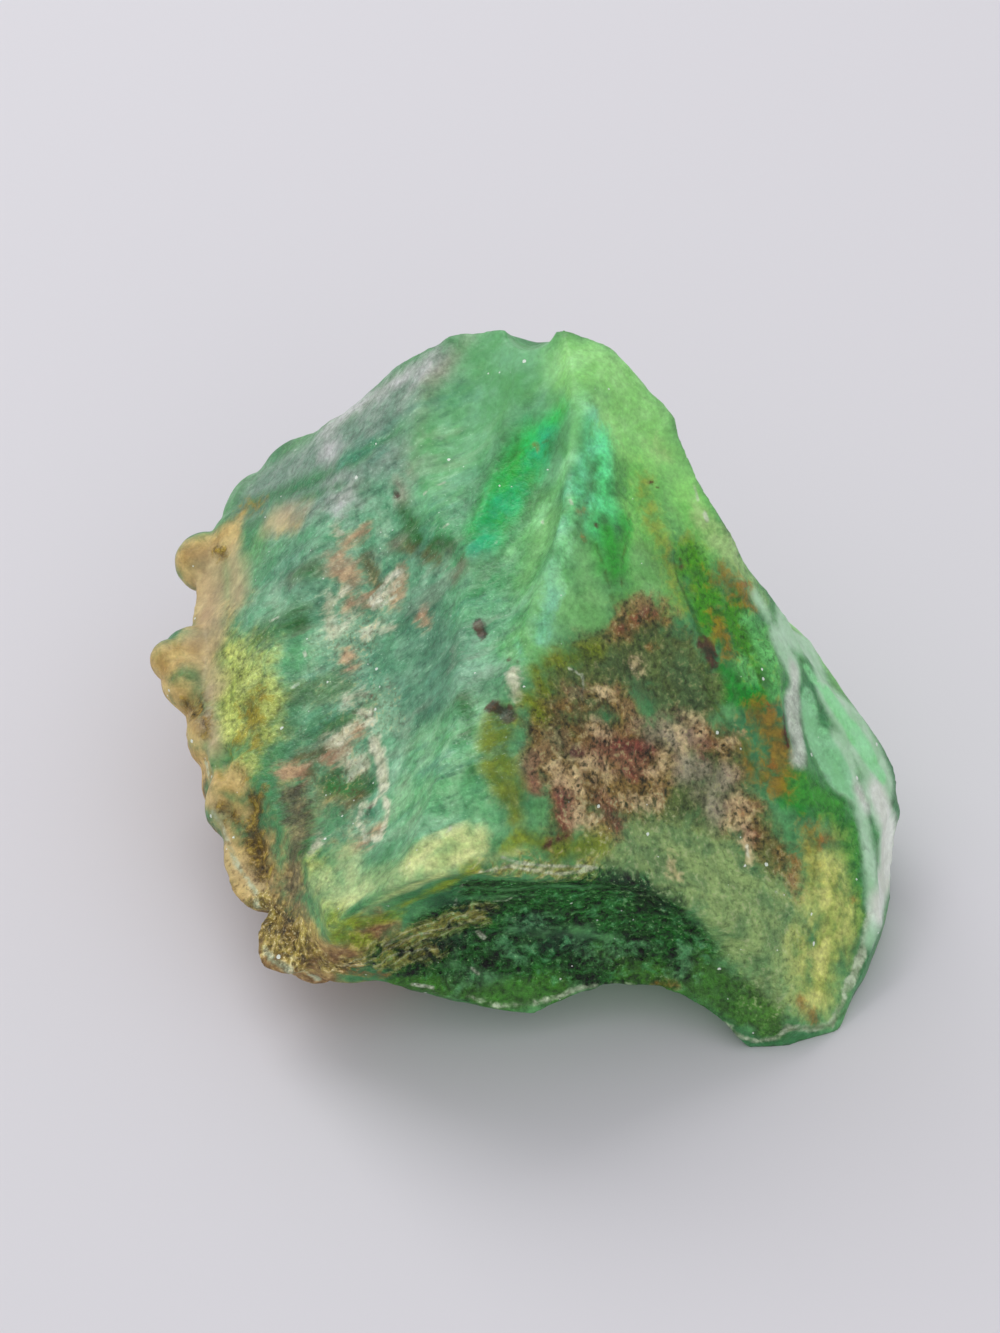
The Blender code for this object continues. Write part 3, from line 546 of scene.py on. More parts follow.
# Small dents and rises: where, their reach across the skin, and how far in they go (below 0, out).
DENTS = {
    "dark_pit": ((481, 631), 0.35, 0.14),
    "red_pit": ((500, 711), 0.40, 0.12),
    "pale_lump": ((511, 682), 0.50, -0.16),
    "loop_hole": ((369, 817), 0.30, 0.22),
    "loop_rim": ((384, 800), 0.45, -0.08),
    "lip_swell": ((445, 845), 0.80, -0.12),
    "crystal": ((398, 584), 0.35, -0.10),
    "crystal_low": ((360, 605), 0.40, -0.08),
    "seam_pit": ((397, 494), 0.30, 0.12),
    "tan_rise": ((741, 813), 0.45, -0.08),
    "front_knob": ((292, 935), 0.35, 0.12),
    "top_pit": ((655, 487), 0.25, 0.08),
    "long_pit": ((257, 850), 0.55, 0.30),
    "high_pit": ((249, 812), 0.42, 0.24),
    "edge_pit": ((228, 812), 0.32, 0.16),
    "small_pit": ((241, 776), 0.32, 0.14),
    "moss_pit": ((250, 718), 0.40, 0.14),
    "moss_pit_low": ((262, 738), 0.30, 0.10),
    "rind_pit": ((196, 712), 0.35, 0.14),
    "knob_pit": ((272, 918), 0.30, 0.16),
    "knob_pit_low": ((300, 950), 0.32, 0.14),
    "knob_rise": ((284, 945), 0.30, -0.08),
}

# Dents die out this much faster over their reach than scored lines do over their width.
DENT_FALL = 2

# Scored lines in the skin: how wide, how deep (below 0, standing out), and where they run.
SCORES = {
    "right_crack_high": (0.12, 0.05, ((671, 540), (678, 572), (690, 605), (700, 640))),
    "right_crack_long": (0.12, 0.06, (
        (697, 600), (706, 671), (713, 702), (725, 720), (743, 742), (751, 762), (766, 784),
    )),
    "maroon_crack": (0.14, 0.06, ((543, 848), (555, 840), (566, 834), (566, 800))),
    "lip_line": (0.10, -0.05, ((502, 857), (516, 862), (543, 866), (579, 866), (597, 868))),
    "brow_line": (0.10, -0.05, ((344, 962), (385, 944), (422, 932), (458, 924))),
    "brow_furrow": (0.10, 0.05, ((350, 967), (395, 951), (440, 938))),
}

# Silky streaks run this way across the left break.
SILK_RUN = Vector((0.766, -0.02, 0.642))

# Noises: how high each stands in mm, the length of its lumps in mm and where it starts, in lumps.
# Most are small relief, and the silk's is drawn out SILK_STRETCH times along its run. The edge waves
# move the rind's border, and the lamina waves bend the laminae, which stand LAMINA_HEIGHT high.
SKIN_RELIEF = ((0.028, 0.6, 0.0), (0.012, 0.27, 9.0))
SILK_RELIEF = ((0.035, 0.45, 0.0), (0.016, 0.2, 3.0))
SILK_STRETCH = 5
PATCH_RELIEF = ((0.03, 0.25, 0.0), (0.05, 0.9, 0.0))
HOLLOW_RELIEF = ((0.08, 1.1, 0.0), (0.05, 0.45, 0.0))
RIND_EDGE_WAVES = ((2.4, 2.6, 4.0),)
LAMINA_WAVES = ((0.25, 1.2, 0.0),)
LAMINA_HEIGHT = 0.02

# The rind's round grains: how high, how large and how far the pattern is moved, in mm. A grain fills
# this much of its cell and stands out and in about this part of its height. Then the pits of the brown
# patch: how deep, the size of their cells in mm and how much of one a pit fills.
RIND_GRAINS = ((0.10, 1.3, 0.0), (0.03, 0.42, 5.0))
GRAIN_FILL = 0.75
GRAIN_LEVEL = 0.5
PATCH_PIT = 0.10
PATCH_PIT_CELL = 0.55
PATCH_PIT_FILL = 0.45

# How deep inside a layer its relief begins and is full, in mm, and between which heights above the
# resting face all relief dies out.
RELIEF_EDGES = {
    "rind": (-0.7, 0.2),
    "left_face": (-1.5, 0.5),
    "brown": (-0.6, 0.3),
    "hollow": (-0.5, 0.5),
    "laminae": (-0.8, 0.2),
}
FOOT_EDGE = (0.05, 0.5)

# Behind this Y the rind's edge falls away from the left break, so much for each mm.
RIND_REAR = 14.5
RIND_REAR_FALL = 0.6

# The farthest outside that a layer counts and the deepest that the rind does, in mm. Then the least
# squared length that a stroke is taken to have, so that a single mark is one too.
FAR = 4.0
LEAST_RUN = 1e-9

# The noises that break up the colour: laid straight or combed along the silk, the size of their
# lumps in mm, their detail, roughness and twist. COMB draws them out along, across and off the break.
GRAINS = {
    "broad": ("place", 3.4, 5, 0.6, 0.0),
    "patchy": ("place", 1.1, 5, 0.62, 0.3),
    "fine": ("place", 0.42, 4, 0.6, 0.4),
    "grit": ("place", 0.21, 3, 0.62, 0.0),
    "speck": ("place", 0.10, 2, 0.6, 0.0),
    "drift": ("combed", 1.2, 5, 0.62, 0.3),
    "silk": ("combed", 0.34, 4, 0.62, 0.0),
}
COMB = (3.0, 1.0, 1.5)

# The green under all layers, from which part of the broad noise each tone takes over, the same for a
# layer's two tones, and how far a noise tears an edge, in mm for each mm of raggedness.
BODY_TONES = ("#3f8550", "#5fa263")
BODY_SPREAD = (0.40, 0.60)
TONE_SPREAD = (0.38, 0.62)
TEAR = 1.6

# Flecks and veils inside a layer: which layer, which noise, where in it they begin and are full, how
# far they cover, and their colour.
FLECKS = (
    ("left_face", "drift", 0.53, 0.66, 0.40, "#97a38c"),
    ("left_face", "drift", 0.47, 0.36, 0.45, "#3f8d72"),
    ("left_face", "silk", 0.45, 0.34, 0.32, "#37755a"),
    ("left_face", "silk", 0.58, 0.70, 0.30, "#a9cba9"),
    ("left_face", "speck", 0.66, 0.72, 0.35, "#cfe0cf"),
    ("mint", "drift", 0.50, 0.64, 0.25, "#93cf93"),
    ("brown", "patchy", 0.53, 0.62, 0.55, "#78564c"),
    ("brown", "grit", 0.55, 0.68, 0.55, "#a9936c"),
    ("brown", "grit", 0.46, 0.34, 0.55, "#42352a"),
    ("patch_ground", "grit", 0.55, 0.68, 0.50, "#8f8c5e"),
    ("patch_ground", "grit", 0.46, 0.35, 0.55, "#36441c"),
    ("lower_right", "grit", 0.54, 0.66, 0.45, "#adb088"),
    ("lower_right", "grit", 0.46, 0.35, 0.45, "#4c6b3b"),
    ("right_green", "grit", 0.47, 0.36, 0.50, "#2c6414"),
    ("right_green", "fine", 0.55, 0.66, 0.35, "#7d8a22"),
    ("right_band", "fine", 0.47, 0.37, 0.45, "#17661f"),
    ("hollow", "fine", 0.53, 0.66, 0.55, "#3c7f49"),
    ("hollow", "grit", 0.58, 0.68, 0.30, "#6d9c68"),
    ("hollow", "fine", 0.46, 0.36, 0.45, "#0a2e1c"),
    ("hollow", "speck", 0.66, 0.72, 0.40, "#a5b88f"),
    ("rind", "grit", 0.47, 0.36, 0.45, "#5f4622"),
    ("rind", "grit", 0.55, 0.66, 0.35, "#cfb380"),
    ("nodule", "fine", 0.46, 0.36, 0.50, "#5e4a1a"),
    ("nodule", "fine", 0.56, 0.66, 0.45, "#c9bd90"),
    ("olive_pits", "fine", 0.54, 0.64, 0.50, "#a08a3c"),
    ("nodule", "speck", 0.58, 0.66, 0.50, "#dcd2ac"),
    ("yellow_green", "grit", 0.47, 0.37, 0.35, "#6f7f38"),
    ("yellow_green", "speck", 0.60, 0.68, 0.40, "#d3da95"),
)

# The bare skin's roughness and how coarse its grain is, then what changes where a layer lies on it.
SKIN_ROUGH = 0.36
SKIN_COARSE = 0.6
SURFACES = {
    "rind": (0.62, 0.6),
    "left_face": (0.34, 0.5),
    "pale_break": (0.36, 0.5),
    "mint": (0.42, 0.22),
    "lime": (0.40, 0.35),
    "emerald": (0.36, 0.4),
    "saddle": (0.38, 0.45),
    "right_green": (0.34, 0.8),
    "lower_right": (0.36, 0.65),
    "yellow_streak": (0.36, 0.7),
    "patch_ground": (0.42, 1.0),
    "brown": (0.48, 1.45),
    "yellow_green": (0.45, 1.1),
    "hollow": (0.26, 1.9),
    "hollow_green": (0.28, 1.3),
    "laminae": (0.30, 1.4),
    "fibre": (0.40, 1.2),
    "rind_edge": (0.50, 0.4),
    "rind_rose": (0.50, 0.25),
    "nodule": (0.34, 1.7),
    "olive_pits": (0.32, 1.7),
    "end_lit_skin": (0.36, 0.15),
}

# Light and dark in the grain: each noise and how strongly it shows, the size of the crumbs in mm, from
# where to where in a crumb it darkens and how strongly, and how strongly the silk shows. Each crumb is
# painted lighter in its middle and darker towards its edge: painted light and shade, as on round grains
# with shaded crevices between them. The real grain is too fine to see, so it is drawn as coarse as it
# needs to be to show. The hue drifts a little to both sides of 0.5, which leaves it as it is.
MOTTLE = {"patchy": 1.0, "fine": 1.2, "grit": 1.2, "speck": 1.1}
CRUMB = 0.27
CRUMB_SPREAD = (0.1, 0.7)
CRUMB_DEPTH = 0.16
SILK_DEPTH = 1.2
HUE_DRIFT = (0.487, 0.513)
HUE_SPREAD = (0.3, 0.7)

# The finest relief, too fine for the mesh: how high it stands in mm, how steep it is drawn on skin of
# coarseness 1, and how much the silk and the fine layers add to it.
BUMP_DEPTH = 0.10
BUMP_STEEP = 0.6
BUMP_SILK = 2.4
BUMP_LINES = 0.2

# Fine layers that show under the brow: which way they step and run, how far apart they lie, the turn
# of a wave node in one unit in radians, how they waver, and for the pale lines and the dark furrows
# where they begin and are full, how far they cover and their colour.
BAND_RISE = (-0.38, 0.10, 0.92)
BAND_RUN = (0.92, 0.0, 0.38)
BAND_STEP = 0.34
WAVE_TURN = 20
BAND_WAVER = {"Distortion": 9.0, "Detail": 4.0, "Detail Scale": 0.9, "Detail Roughness": 0.6}
BAND_LINES = (0.80, 0.98, 0.75, "#b1b68c")
BAND_FURROWS = (0.30, 0.05, 0.60, "#2c3a16")

# Glints: tiny bright spots painted near white into the colour as painted highlights of small shining
# faces, and made smoother there. The spacing in mm, how few of the seeds shine, the widest in spacings and
# how far it covers. Then the narrowest, how ragged they are, their roughness and colour.
GLINTS = ((0.85, 0.60, 0.095, 0.9), (0.42, 0.74, 0.10, 0.75))
GLINT_LEAST = 0.06
GLINT_RAGGED = 0.12
GLINT_ROUGH = 0.12
GLINT = "#e9f2e6"

# Chalcedony is fine quartz with a waxy sheen. A little light spreads inside it, green the farthest:
# the radius is in mm, and the scale brings it to metres.
QUARTZ = {
    "Metallic": 0.0,
    "IOR": 1.54,
    "Specular IOR Level": 0.3,
    "Subsurface Weight": 0.22,
    "Subsurface Radius": (0.6, 1.0, 0.7),
    "Subsurface Scale": MM,
}

# What many nodes are given: a smooth step, colours to mix, and where a Mix node takes the share and
# the two colours and gives the mixed one. Every noise wavers about its middle.
SOFTLY = {"interpolation_type": "SMOOTHSTEP"}
IN_COLOUR = {"data_type": "RGBA"}
SHARE, UNDER, OVER, MIXED = 0, 6, 7, 2
NOISE_MIDDLE = 0.5

# The studio: a pale board that reaches FLOOR_HALF from its middle to each side, a bright room and two
# broad lamps, each with its place, size, power in watts and tint.
FLOOR_HALF = 900
FLOOR_COLOUR = "#dcdade"
FLOOR_ROUGH = 0.7
FLOOR_SHEEN = 0.2
ROOM_COLOUR = "#f4f4f8"
ROOM_STRENGTH = 0.72
LAMP_AIM = Vector((0.0, 2.0, 8.0))
LAMPS = {
    "window": ((-140.0, 180.0, 260.0), 220.0, 0.45, "#ffffff"),
    "front_fill": ((60.0, -260.0, 120.0), 200.0, 0.12, "#ffffff"),
}


def finish_object(name, bm):
    mesh = bpy.data.meshes.new(name)
    bm.to_mesh(mesh)
    bm.free()
    return bpy.data.objects.new(name, mesh)


def place_cutter(name, where, facing, along, half_length, half_width, depth):
    """An ellipsoid that leaves a scar of this size and depth where it meets the skin."""
    out = Vector(facing).normalized()
    run = Vector(along) - out * Vector(along).dot(out)
    run.normalize()
    across = out.cross(run)
    radius = (half_width * half_width + depth * depth) / (2 * depth)
    longer = half_length / half_width
    turn = Matrix((run * longer, across, out)).transposed().to_4x4()
    centre = Vector(where) + out * (radius - depth)
    bm = bmesh.new()
    bmesh.ops.create_uvsphere(
        bm, u_segments=CUTTER_SEGMENTS, v_segments=CUTTER_RINGS, radius=radius
    )
    bmesh.ops.transform(bm, matrix=Matrix.Translation(centre) @ turn, verts=bm.verts)
    bmesh.ops.recalc_face_normals(bm, faces=bm.faces)
    return finish_object(name, bm)


def hull_of_corners(name):
    bm = bmesh.new()
    for corner in CORNERS.values():
        bm.verts.new(corner)
    made = bmesh.ops.convex_hull(bm, input=bm.verts)
    bmesh.ops.delete(bm, geom=made["geom_interior"], context="VERTS")
    bmesh.ops.recalc_face_normals(bm, faces=bm.faces)
    return finish_object(name, bm)


def under_lumps():
    """Lumps spread over the slope from the left edge down to the base."""
    draw = random.Random(UNDER_SEED)
    edge = [Vector(CORNERS[name]) for name in ("left_edge_front", "left_edge_mid", "left_back")]
    foot = [Vector(CORNERS[name]) for name in ("base_front_left", "base_left", "base_back_left")]
    lumps = []
    for number in range(UNDER_LUMPS):
        along = 2 * (number + draw.random()) / UNDER_LUMPS
        half = min(int(along), 1)
        top = edge[half].lerp(edge[half + 1], along - half)
        bottom = foot[half].lerp(foot[half + 1], along - half)
        radius = draw.uniform(*UNDER_RADIUS)
        centre = top.lerp(bottom, draw.uniform(*UNDER_SPREAD)) - UNDER_FACING * UNDER_SINK * radius
        lumps.append((centre, radius))
    return lumps


def make_rind():
    bm = bmesh.new()
    for centre, radius in [*EDGE_LUMPS, *under_lumps()]:
        place = Matrix.Translation(centre)
        bmesh.ops.create_icosphere(bm, subdivisions=LUMP_ROUNDS, radius=radius, matrix=place)
    return finish_object("rind_lumps", bm)


def bake_modifiers(stone):
    bpy.context.view_layer.update()
    graph = bpy.context.evaluated_depsgraph_get()
    stone.data = bpy.data.meshes.new_from_object(stone.evaluated_get(graph))
    stone.modifiers.clear()


def shape_lump(stone, work):
    """Joins the rind to the hull, then cuts every flake scar."""
    rind = make_rind()
    join = stone.modifiers.new("rind", "BOOLEAN")
    join.operation = "UNION"
    join.object = rind
    join.use_self = True
    work.objects.link(rind)
    helpers = [rind]
    for name, scar in SCARS.items():
        cutter = place_cutter(name, *scar)
        work.objects.link(cutter)
        helpers.append(cutter)
        cut = stone.modifiers.new(name, "BOOLEAN")
        cut.operation = "DIFFERENCE"
        cut.object = cutter
    bake_modifiers(stone)
    for helper in helpers:
        bpy.data.objects.remove(helper)


def make_skin(stone):
    skin = stone.modifiers.new("skin", "REMESH")
    skin.mode = "VOXEL"
    skin.voxel_size = SKIN_CELL
    bake_modifiers(stone)


def rind_drop(place):
    return (place - Vector(CORNERS["left_edge_mid"])).dot(Vector(LEFT_BREAK))


def is_rind(place):
    return place.x < RIND_RIGHT and rind_drop(place) < -RIND_DROP


def wear(stone):
    """Wears every edge a little and the rind more, each over a real length."""
    rind = stone.vertex_groups.new(name="rind")
    rind.add([vertex.index for vertex in stone.data.vertices if is_rind(vertex.co)], 1.0, "REPLACE")
    for group, length in (("", EDGE_WEAR), (rind.name, RIND_WEAR)):
        worn = stone.modifiers.new("worn", "SMOOTH")
        worn.factor = SMOOTH_FACTOR
        worn.iterations = round((length / SKIN_CELL) ** 2 / SMOOTH_FACTOR)
        worn.vertex_group = group
    bake_modifiers(stone)
    stone.vertex_groups.clear()


def wander(stone):
    for vertex in stone.data.vertices:
        slow = noise.noise_vector(vertex.co / WANDER_LENGTH)
        quick = noise.noise_vector(vertex.co / RIPPLE_LENGTH + RIPPLE_START)
        vertex.co += slow * WANDER + quick * RIPPLE


def cut_resting_face(stone):
    bm = bmesh.new()
    bm.from_mesh(stone.data)
    geom = bm.verts[:] + bm.edges[:] + bm.faces[:]
    cut = bmesh.ops.bisect_plane(
        bm, geom=geom, plane_co=(0, 0, 0), plane_no=(0, 0, -1), clear_outer=True
    )
    rim = [item for item in cut["geom_cut"] if isinstance(item, bmesh.types.BMEdge)]
    bmesh.ops.edgeloop_fill(bm, edges=rim)
    bm.to_mesh(stone.data)
    bm.free()


def thin_out(stone):
    stone.data.calc_loop_triangles()
    fewer = stone.modifiers.new("fewer", "DECIMATE")
    fewer.ratio = MOST_TRIANGLES / len(stone.data.loop_triangles)
    fewer.use_collapse_triangulate = True
    bake_modifiers(stone)


def read_vectors(items, kind):
    flat = np.empty(len(items) * 3, np.float32)
    items.foreach_get(kind, flat)
    return flat.reshape(-1, 3).astype(float)


def read_points(mesh):
    return read_vectors(mesh.vertices, "co")


def write_points(mesh, points):
    mesh.vertices.foreach_set("co", points.astype(np.float32).ravel())
    mesh.update()


def fit_box(stone, low, high):
    """Brings the stone to the box of the solid it stands for; gives the foot it moved to the origin."""
    points = read_points(stone.data)
    least, most = points.min(0), points.max(0)
    foot = np.array(((least[0] + most[0]) / 2, (least[1] + most[1]) / 2, least[2]))
    low, high = np.array(low) / MM, np.array(high) / MM
    grow = (high - low) / (most - least)
    middle = np.array(((low[0] + high[0]) / 2, (low[1] + high[1]) / 2, low[2]))
    write_points(stone.data, (points - foot) * grow + middle)
    return foot


def view_ahead():
    return Vector((0, math.cos(VIEW_RISE), -math.sin(VIEW_RISE)))


class Skin:
    """Drops marks on the stone's skin, from the camera or straight from their place."""

    def __init__(self, mesh):
        bm = bmesh.new()
        bm.from_mesh(mesh)
        self.tree = BVHTree.FromBMesh(bm)
        bm.free()
        self.ahead = view_ahead()
        self.up = Vector((0, math.sin(VIEW_RISE), math.cos(VIEW_RISE)))
        self.eye = VIEW_AIM - self.ahead * VIEW_AWAY

    def drop(self, mark):
        if len(mark) == 3:
            return np.array(self.tree.find_nearest(Vector(mark))[0])
        across = (mark[0] - VIEW_WIDE / 2) * VIEW_STEP
        down = (mark[1] - VIEW_TALL / 2) * VIEW_STEP
        ray = self.ahead * VIEW_AWAY + Vector((1, 0, 0)) * across - self.up * down
        hit = self.tree.ray_cast(self.eye, ray.normalized())[0]
        if hit is None:
            hit = self.tree.find_nearest(self.eye + ray)[0]
        return np.array(hit)

    def gap(self, points, marks):
        """How far each point is from a path through these marks, in mm."""
        path = [self.drop(mark) for mark in marks]
        nearest = np.full(len(points), np.inf)
        for start, end in zip(path, path[1:] or path):
            run = end - start
            along = np.clip((points - start) @ run / max(run @ run, LEAST_RUN), 0, 1)
            far = np.linalg.norm(points - start - along[:, None] * run, axis=1)
            nearest = np.minimum(nearest, far)
        return nearest


def layer_depths(points, skin, foot):
    """For every layer, how far inside its strokes each point lies, in mm: below 0 outside."""
    depths = {}
    for name, layer in LAYERS.items():
        inside = np.full(len(points), -FAR)
        for reach, *marks in layer[-1]:
            inside = np.maximum(inside, reach - skin.gap(points, marks))
        depths[name] = inside
    # The rind has no strokes: it is what lies left of its own ragged edge and under the left break.
    raw = points + foot
    drop = (raw - np.array(CORNERS["left_edge_mid"])) @ np.array(LEFT_BREAK)
    left = ripples(raw, RIND_EDGE_WAVES, RIND_RIGHT - raw[:, 0])
    below = -RIND_DROP - drop - RIND_REAR_FALL * np.maximum(raw[:, 1] - RIND_REAR, 0)
    depths["rind"] = np.clip(np.minimum(left, below), -FAR, FAR)
    return depths


def smooth_step(value, low, high):
    share = np.clip((value - low) / (high - low), 0, 1)
    return share * share * (3 - 2 * share)


def ripples(points, waves, total=0.0):
    """Adds even noises to a total: how high each stands, the length of its lumps and its start."""
    for height, length, start in waves:
        level = np.array([noise.noise(Vector(point)) for point in points / length + start])
        total = total + height * level
    return total


def cells_of(points, size, fill):
    """How far each point is from the nearest of scattered seeds: 0 on it, 1 where its grain ends."""
    far = np.array([noise.voronoi(Vector(point))[0][0] for point in points / size])
    return far / fill


def rind_relief(points):
    total = 0.0
    for height, size, shift in RIND_GRAINS:
        round_top = 1 - np.clip(cells_of(points + shift, size, GRAIN_FILL), 0, 1) ** 2
        total = total + height * (round_top - GRAIN_LEVEL)
    return total


def patch_relief(points):
    pits = np.clip(1 - cells_of(points, PATCH_PIT_CELL, PATCH_PIT_FILL), 0, 1)
    return -ripples(points, PATCH_RELIEF, PATCH_PIT * pits)


def hollow_relief(points):
    return ripples(points, HOLLOW_RELIEF)


def lamina_relief(points):
    level = points @ np.array(BAND_RISE) + ripples(points, LAMINA_WAVES)
    return LAMINA_HEIGHT * np.sin(level * math.tau / BAND_STEP)


def silk_relief(points):
    """Streaks drawn out along the silk's run over the left break."""
    off = Vector(LEFT_BREAK).normalized()
    across = off.cross(SILK_RUN).normalized()
    along = points @ np.array(SILK_RUN) / SILK_STRETCH
    turned = np.stack((along, points @ np.array(across), points @ np.array(off)), 1)
    return ripples(turned, SILK_RELIEF)


def raise_relief(stone, skin, depths):
    """Moves the skin in and out along its own normals for all the small relief."""
    mesh = stone.data
    points = read_points(mesh)
    normals = read_vectors(mesh.vertex_normals, "vector")
    depths = {**depths, "hollow": np.maximum(depths["hollow"], depths["hollow_green"])}
    shown = {name: smooth_step(depths[name], *edge) for name, edge in RELIEF_EDGES.items()}
    shown["left_face"] *= 1 - shown["rind"]
    lift = ripples(points, SKIN_RELIEF)
    for name, relief in (
        ("rind", rind_relief),
        ("left_face", silk_relief),
        ("brown", patch_relief),
        ("hollow", hollow_relief),
        ("laminae", lamina_relief),
    ):
        near = shown[name] > 0
        lift[near] += shown[name][near] * relief(points[near])
    for where, reach, depth in DENTS.values():
        lift -= depth * np.exp(-((skin.gap(points, [where]) / reach) ** 2) * DENT_FALL)
    for width, depth, marks in SCORES.values():
        lift -= depth * np.exp(-((skin.gap(points, marks) / width) ** 2))
    above = smooth_step(points[:, 2], *FOOT_EDGE)
    write_points(mesh, points + normals * (lift * above)[:, None])


def write_layers(stone, depths):
    for name, inside in depths.items():
        held = stone.data.attributes.new(name, "FLOAT", "POINT")
        held.data.foreach_set("value", inside.astype(np.float32))


def linear(code):
    """sRGB hex to linear colour."""
    parts = [int(code[place : place + 2], 16) / 255 for place in (1, 3, 5)]
    return [*(part / 12.92 if part <= 0.04045 else ((part + 0.055) / 1.055) ** 2.4 for part in parts), 1.0]


def add(tree, kind, inputs, output=0, **settings):
    """Adds a node with its settings, its inputs set or linked by name or in order; gives one output."""
    made = tree.nodes.new("ShaderNode" + kind)
    for name, value in settings.items():
        setattr(made, name, value)
    for name, value in inputs.items() if isinstance(inputs, dict) else enumerate(inputs):
        if isinstance(value, bpy.types.NodeSocket):
            tree.links.new(value, made.inputs[name])
        else:
            made.inputs[name].default_value = value
    return made.outputs[output]


def turned_to(first, last):
    """The turn whose X runs along first and whose Z runs along last."""
    z = Vector(last).normalized()
    y = z.cross(Vector(first)).normalized()
    return Matrix((y.cross(z), y, z)).transposed().to_euler()


def make_grains(tree, place):
    inputs = {"Vector": place, "Rotation": turned_to(SILK_RUN, LEFT_BREAK), "Scale": COMB}
    ways = {"place": place, "combed": add(tree, "Mapping", inputs, vector_type="TEXTURE")}
    grains = {}
    for name, (way, size, detail, rough, twist) in GRAINS.items():
        inputs = {"Vector": ways[way], "Scale": 1 / size}
        inputs.update({"Detail": detail, "Roughness": rough, "Distortion": twist})
        grains[name] = add(tree, "TexNoise", inputs, "Fac")
    return grains


def two_tones(tree, tones, grain, low, high):
    """Paint of two tones that a noise shares out."""
    share = add(tree, "MapRange", (grain, low, high), **SOFTLY)
    under, over = (linear(code) for code in tones)
    return add(tree, "Mix", {SHARE: share, UNDER: under, OVER: over}, MIXED, **IN_COLOUR)


def paint_layers(tree, grains):
    """The body's green with every layer over it; also gives how far each layer covers."""
    masks = {}
    colour = two_tones(tree, BODY_TONES, grains["broad"], *BODY_SPREAD)
    for name, (tones, soft, ragged, grain, cover, _) in LAYERS.items():
        depth = add(tree, "Attribute", {}, "Fac", attribute_name=name)
        tear = ragged * TEAR
        torn = add(tree, "Math", (grains[grain], tear, depth), operation="MULTIPLY_ADD")
        edge = (tear * NOISE_MIDDLE - soft, tear * NOISE_MIDDLE + soft)
        masks[name] = add(tree, "MapRange", (torn, *edge, 0.0, cover), **SOFTLY)
        paint = two_tones(tree, tones, grains["fine" if grain == "fine" else "patchy"], *TONE_SPREAD)
        inputs = {SHARE: masks[name], UNDER: colour, OVER: paint}
        colour = add(tree, "Mix", inputs, MIXED, **IN_COLOUR)
    return colour, masks


def paint_flecks(tree, colour, grains, masks):
    for name, grain, low, high, cover, code in FLECKS:
        fleck = add(tree, "MapRange", (grains[grain], low, high, 0.0, cover), **SOFTLY)
        share = add(tree, "Math", (fleck, masks[name]), operation="MULTIPLY")
        inputs = {SHARE: share, UNDER: colour, OVER: linear(code)}
        colour = add(tree, "Mix", inputs, MIXED, **IN_COLOUR)
    return colour


def paint_bands(tree, colour, place, mask):
    """Pale lines and dark furrows of the fine layers; also gives the lines, which stand out."""
    inputs = {"Vector": place, "Rotation": turned_to(BAND_RUN, BAND_RISE)}
    level = add(tree, "Mapping", inputs, vector_type="TEXTURE")
    inputs = {"Vector": level, "Scale": math.tau / WAVE_TURN / BAND_STEP, **BAND_WAVER}
    bands = add(tree, "TexWave", inputs, "Fac", bands_direction="Z")
    marks = []
    for low, high, cover, code in (BAND_LINES, BAND_FURROWS):
        band = add(tree, "MapRange", (bands, low, high), **SOFTLY)
        marks.append(add(tree, "Math", (band, mask), operation="MULTIPLY"))
        share = add(tree, "Math", (marks[-1], cover), operation="MULTIPLY")
        inputs = {SHARE: share, UNDER: colour, OVER: linear(code)}
        colour = add(tree, "Mix", inputs, MIXED, **IN_COLOUR)
    return colour, marks[0]


def wear_of_layers(tree, masks):
    """How rough the skin is and how coarse its grain, layer over layer."""
    rough, coarse = SKIN_ROUGH, SKIN_COARSE
    for name, (layer_rough, layer_coarse) in SURFACES.items():
        rough = add(tree, "Mix", {"Factor": masks[name], "A": rough, "B": layer_rough})
        coarse = add(tree, "Mix", {"Factor": masks[name], "A": coarse, "B": layer_coarse})
    return rough, coarse


def light_and_dark(tree, place, grains):
    """Crumbs painted light in the middle and shaded at the edge, and noises that make the grain lighter
    and darker, about 0.
    """
    crumbs = add(tree, "TexVoronoi", {"Vector": place, "Scale": 1 / CRUMB}, "Distance")
    total = add(tree, "MapRange", (crumbs, *CRUMB_SPREAD, CRUMB_DEPTH, -CRUMB_DEPTH))
    for name, weight in MOTTLE.items():
        off = add(tree, "Math", (grains[name], NOISE_MIDDLE), operation="SUBTRACT")
        total = add(tree, "Math", (off, weight, total), operation="MULTIPLY_ADD")
    return total


def lay_glints(tree, colour, rough, place, grains):
    for cell, least, widest, cover in GLINTS:
        away = add(tree, "TexVoronoi", {"Vector": place, "Scale": 1 / cell}, "Distance")
        chosen = add(tree, "SeparateColor", [away.node.outputs["Color"]])
        size = add(tree, "MapRange", (chosen, least, 1.0, 0.0, widest))
        size = add(tree, "Math", (size, GLINT_LEAST), operation="ADD")
        away = add(tree, "Math", (grains["speck"], GLINT_RAGGED, away), operation="MULTIPLY_ADD")
        inside = add(tree, "Math", (away, size), operation="LESS_THAN")
        shines = add(tree, "Math", (chosen, least), operation="GREATER_THAN")
        glint = add(tree, "Math", (inside, shines), operation="MULTIPLY")
        share = add(tree, "Math", (glint, cover), operation="MULTIPLY")
        # The glint's near white is painted into the colour: a painted highlight.
        inputs = {SHARE: share, UNDER: colour, OVER: linear(GLINT)}
        colour = add(tree, "Mix", inputs, MIXED, **IN_COLOUR)
        rough = add(tree, "Mix", {"Factor": glint, "A": rough, "B": GLINT_ROUGH})
    return colour, rough


